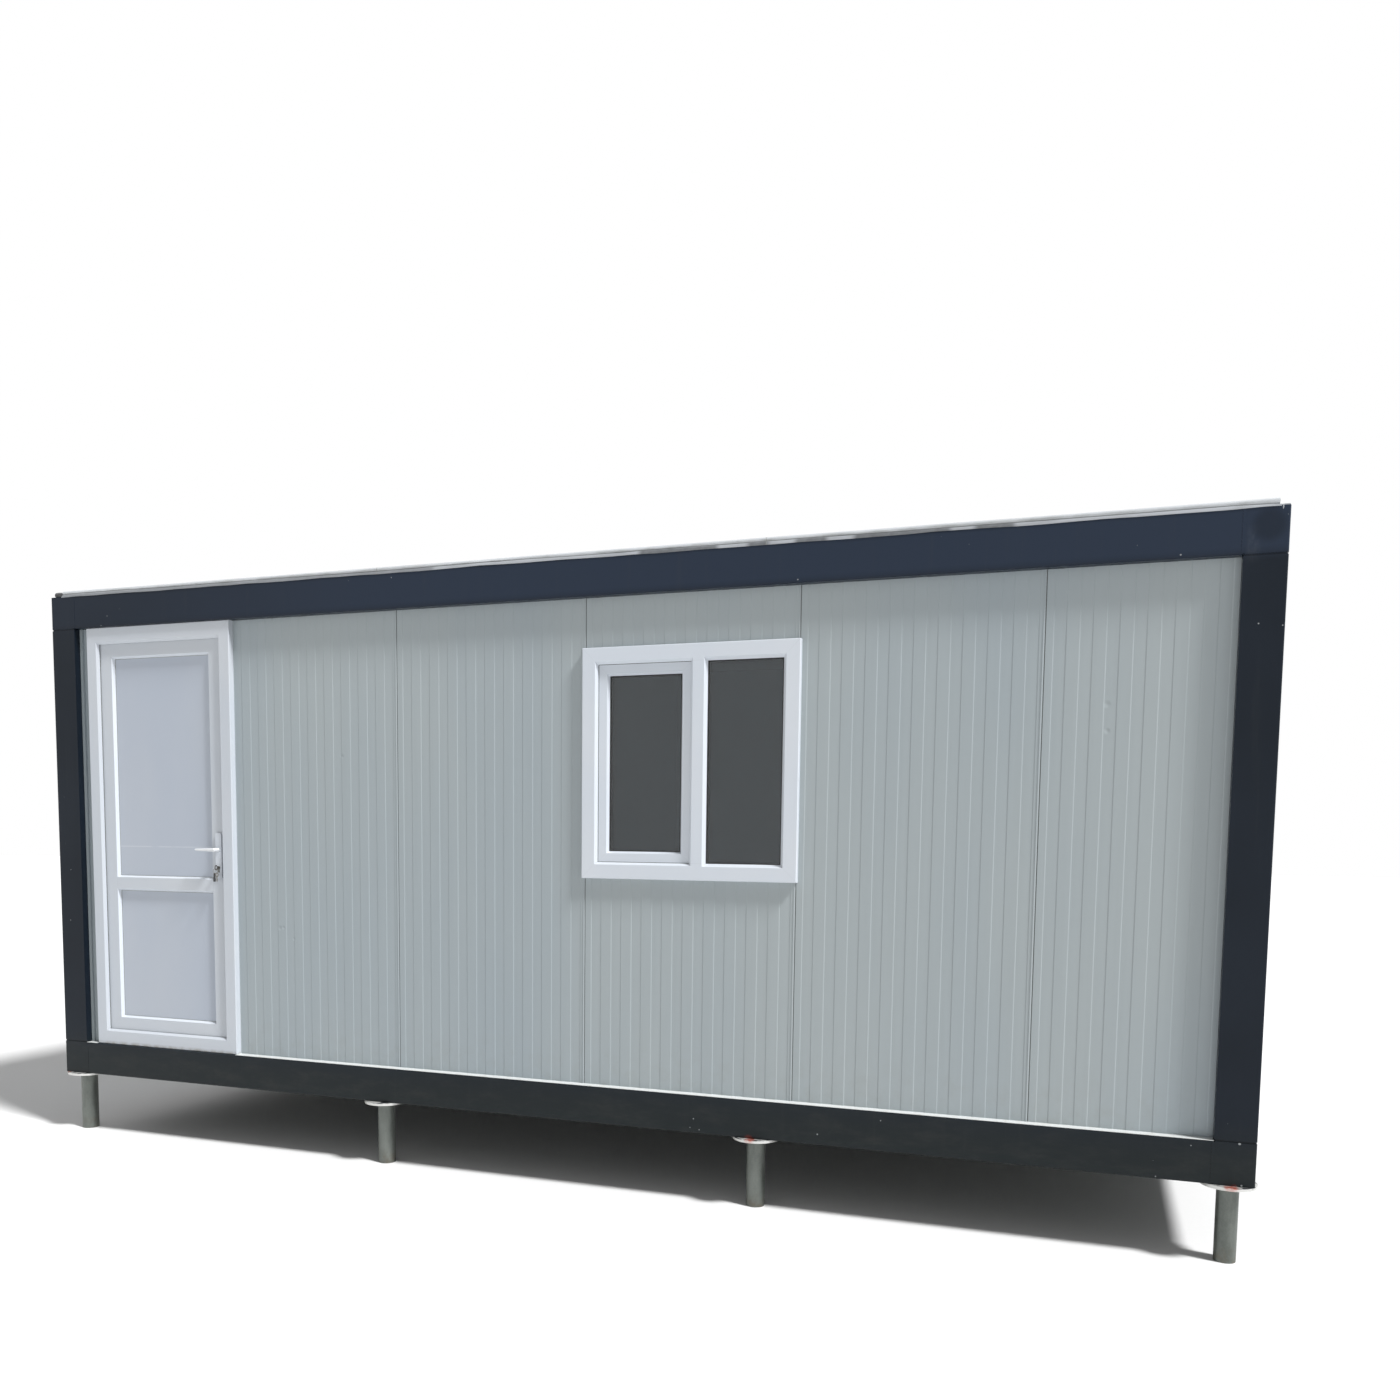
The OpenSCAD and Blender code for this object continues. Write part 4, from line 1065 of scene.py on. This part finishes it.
split_ring = bpy.context.object
bpy.ops.object.transform_apply()
hung = Vector((lock_x + 0.006, ring_middle.y + 0.001, key_z - 0.036))
second = bow("bow", hung, (0.0105, 1, 0.0115), 1, 0.0058)
blade = block("blade", (hung.x - blade_half, hung.y - key_thick / 2, hung.z - blade_low),
              (hung.x + blade_half, hung.y + key_thick / 2, hung.z - blade_top))
bpy.ops.object.mode_set(mode="EDIT")
slices(2, [hung.z - blade_low + mm / 1000 for mm in (3, 6, 10, 13, 18, 21)])
bpy.ops.object.mode_set(mode="OBJECT")
for point in blade.data.vertices:
    notch = round((point.co.z - hung.z + blade_low) * 1000)
    if point.co.x > hung.x and notch in notches:
        point.co.x -= notch_deep
    if notch == 0:
        point.co.x = hung.x + (point.co.x - hung.x) * 0.4
door_keys = together("door_keys", [in_lock, shank, split_ring, second, blade])
key_nickel = nickel("key_nickel", (0.17, 0.165, 0.155), (0.32, 0.31, 0.29))
hand_over(door_keys, key_nickel, "door", 30)

fob_x = lock_x - 0.010
fob = block("key_fob", (fob_x - 0.007, lock_front - 0.0215, 1.396),
            (fob_x + 0.007, lock_front - 0.0155, fob_top))
choose(fob, lambda edge: True, "EDGE")
bpy.ops.mesh.bevel(offset=0.0018, segments=2)
bpy.ops.object.mode_set(mode="OBJECT")
for point in fob.data.vertices:
    narrow = 1 - 0.45 * min(1, max(0, (point.co.z - fob_waist) / 0.026))
    point.co.x = fob_x + (point.co.x - fob_x) * narrow
rounded(fob, 2)
hand_over(fob, mastic, "door")

# Window panes
# Double glazing with a slight cool tint and a thin film of dust.
pane, pane_shader, at = finish("window_glass", 0.03, 0.6)
pane_shader.inputs["Transmission Weight"].default_value = 1.0
pane_shader.inputs["IOR"].default_value = 1.5
film = at.stretched((1, 1, 0.5)).noise(3, 5, 0.6)
feed(pane_shader, Base_Color=film.blend((0.50, 0.56, 0.60), (0.58, 0.63, 0.66)),
     Roughness=0.005 + film.fade(0.4, 0.8) * 0.02)
dress(pane, "window_glass")
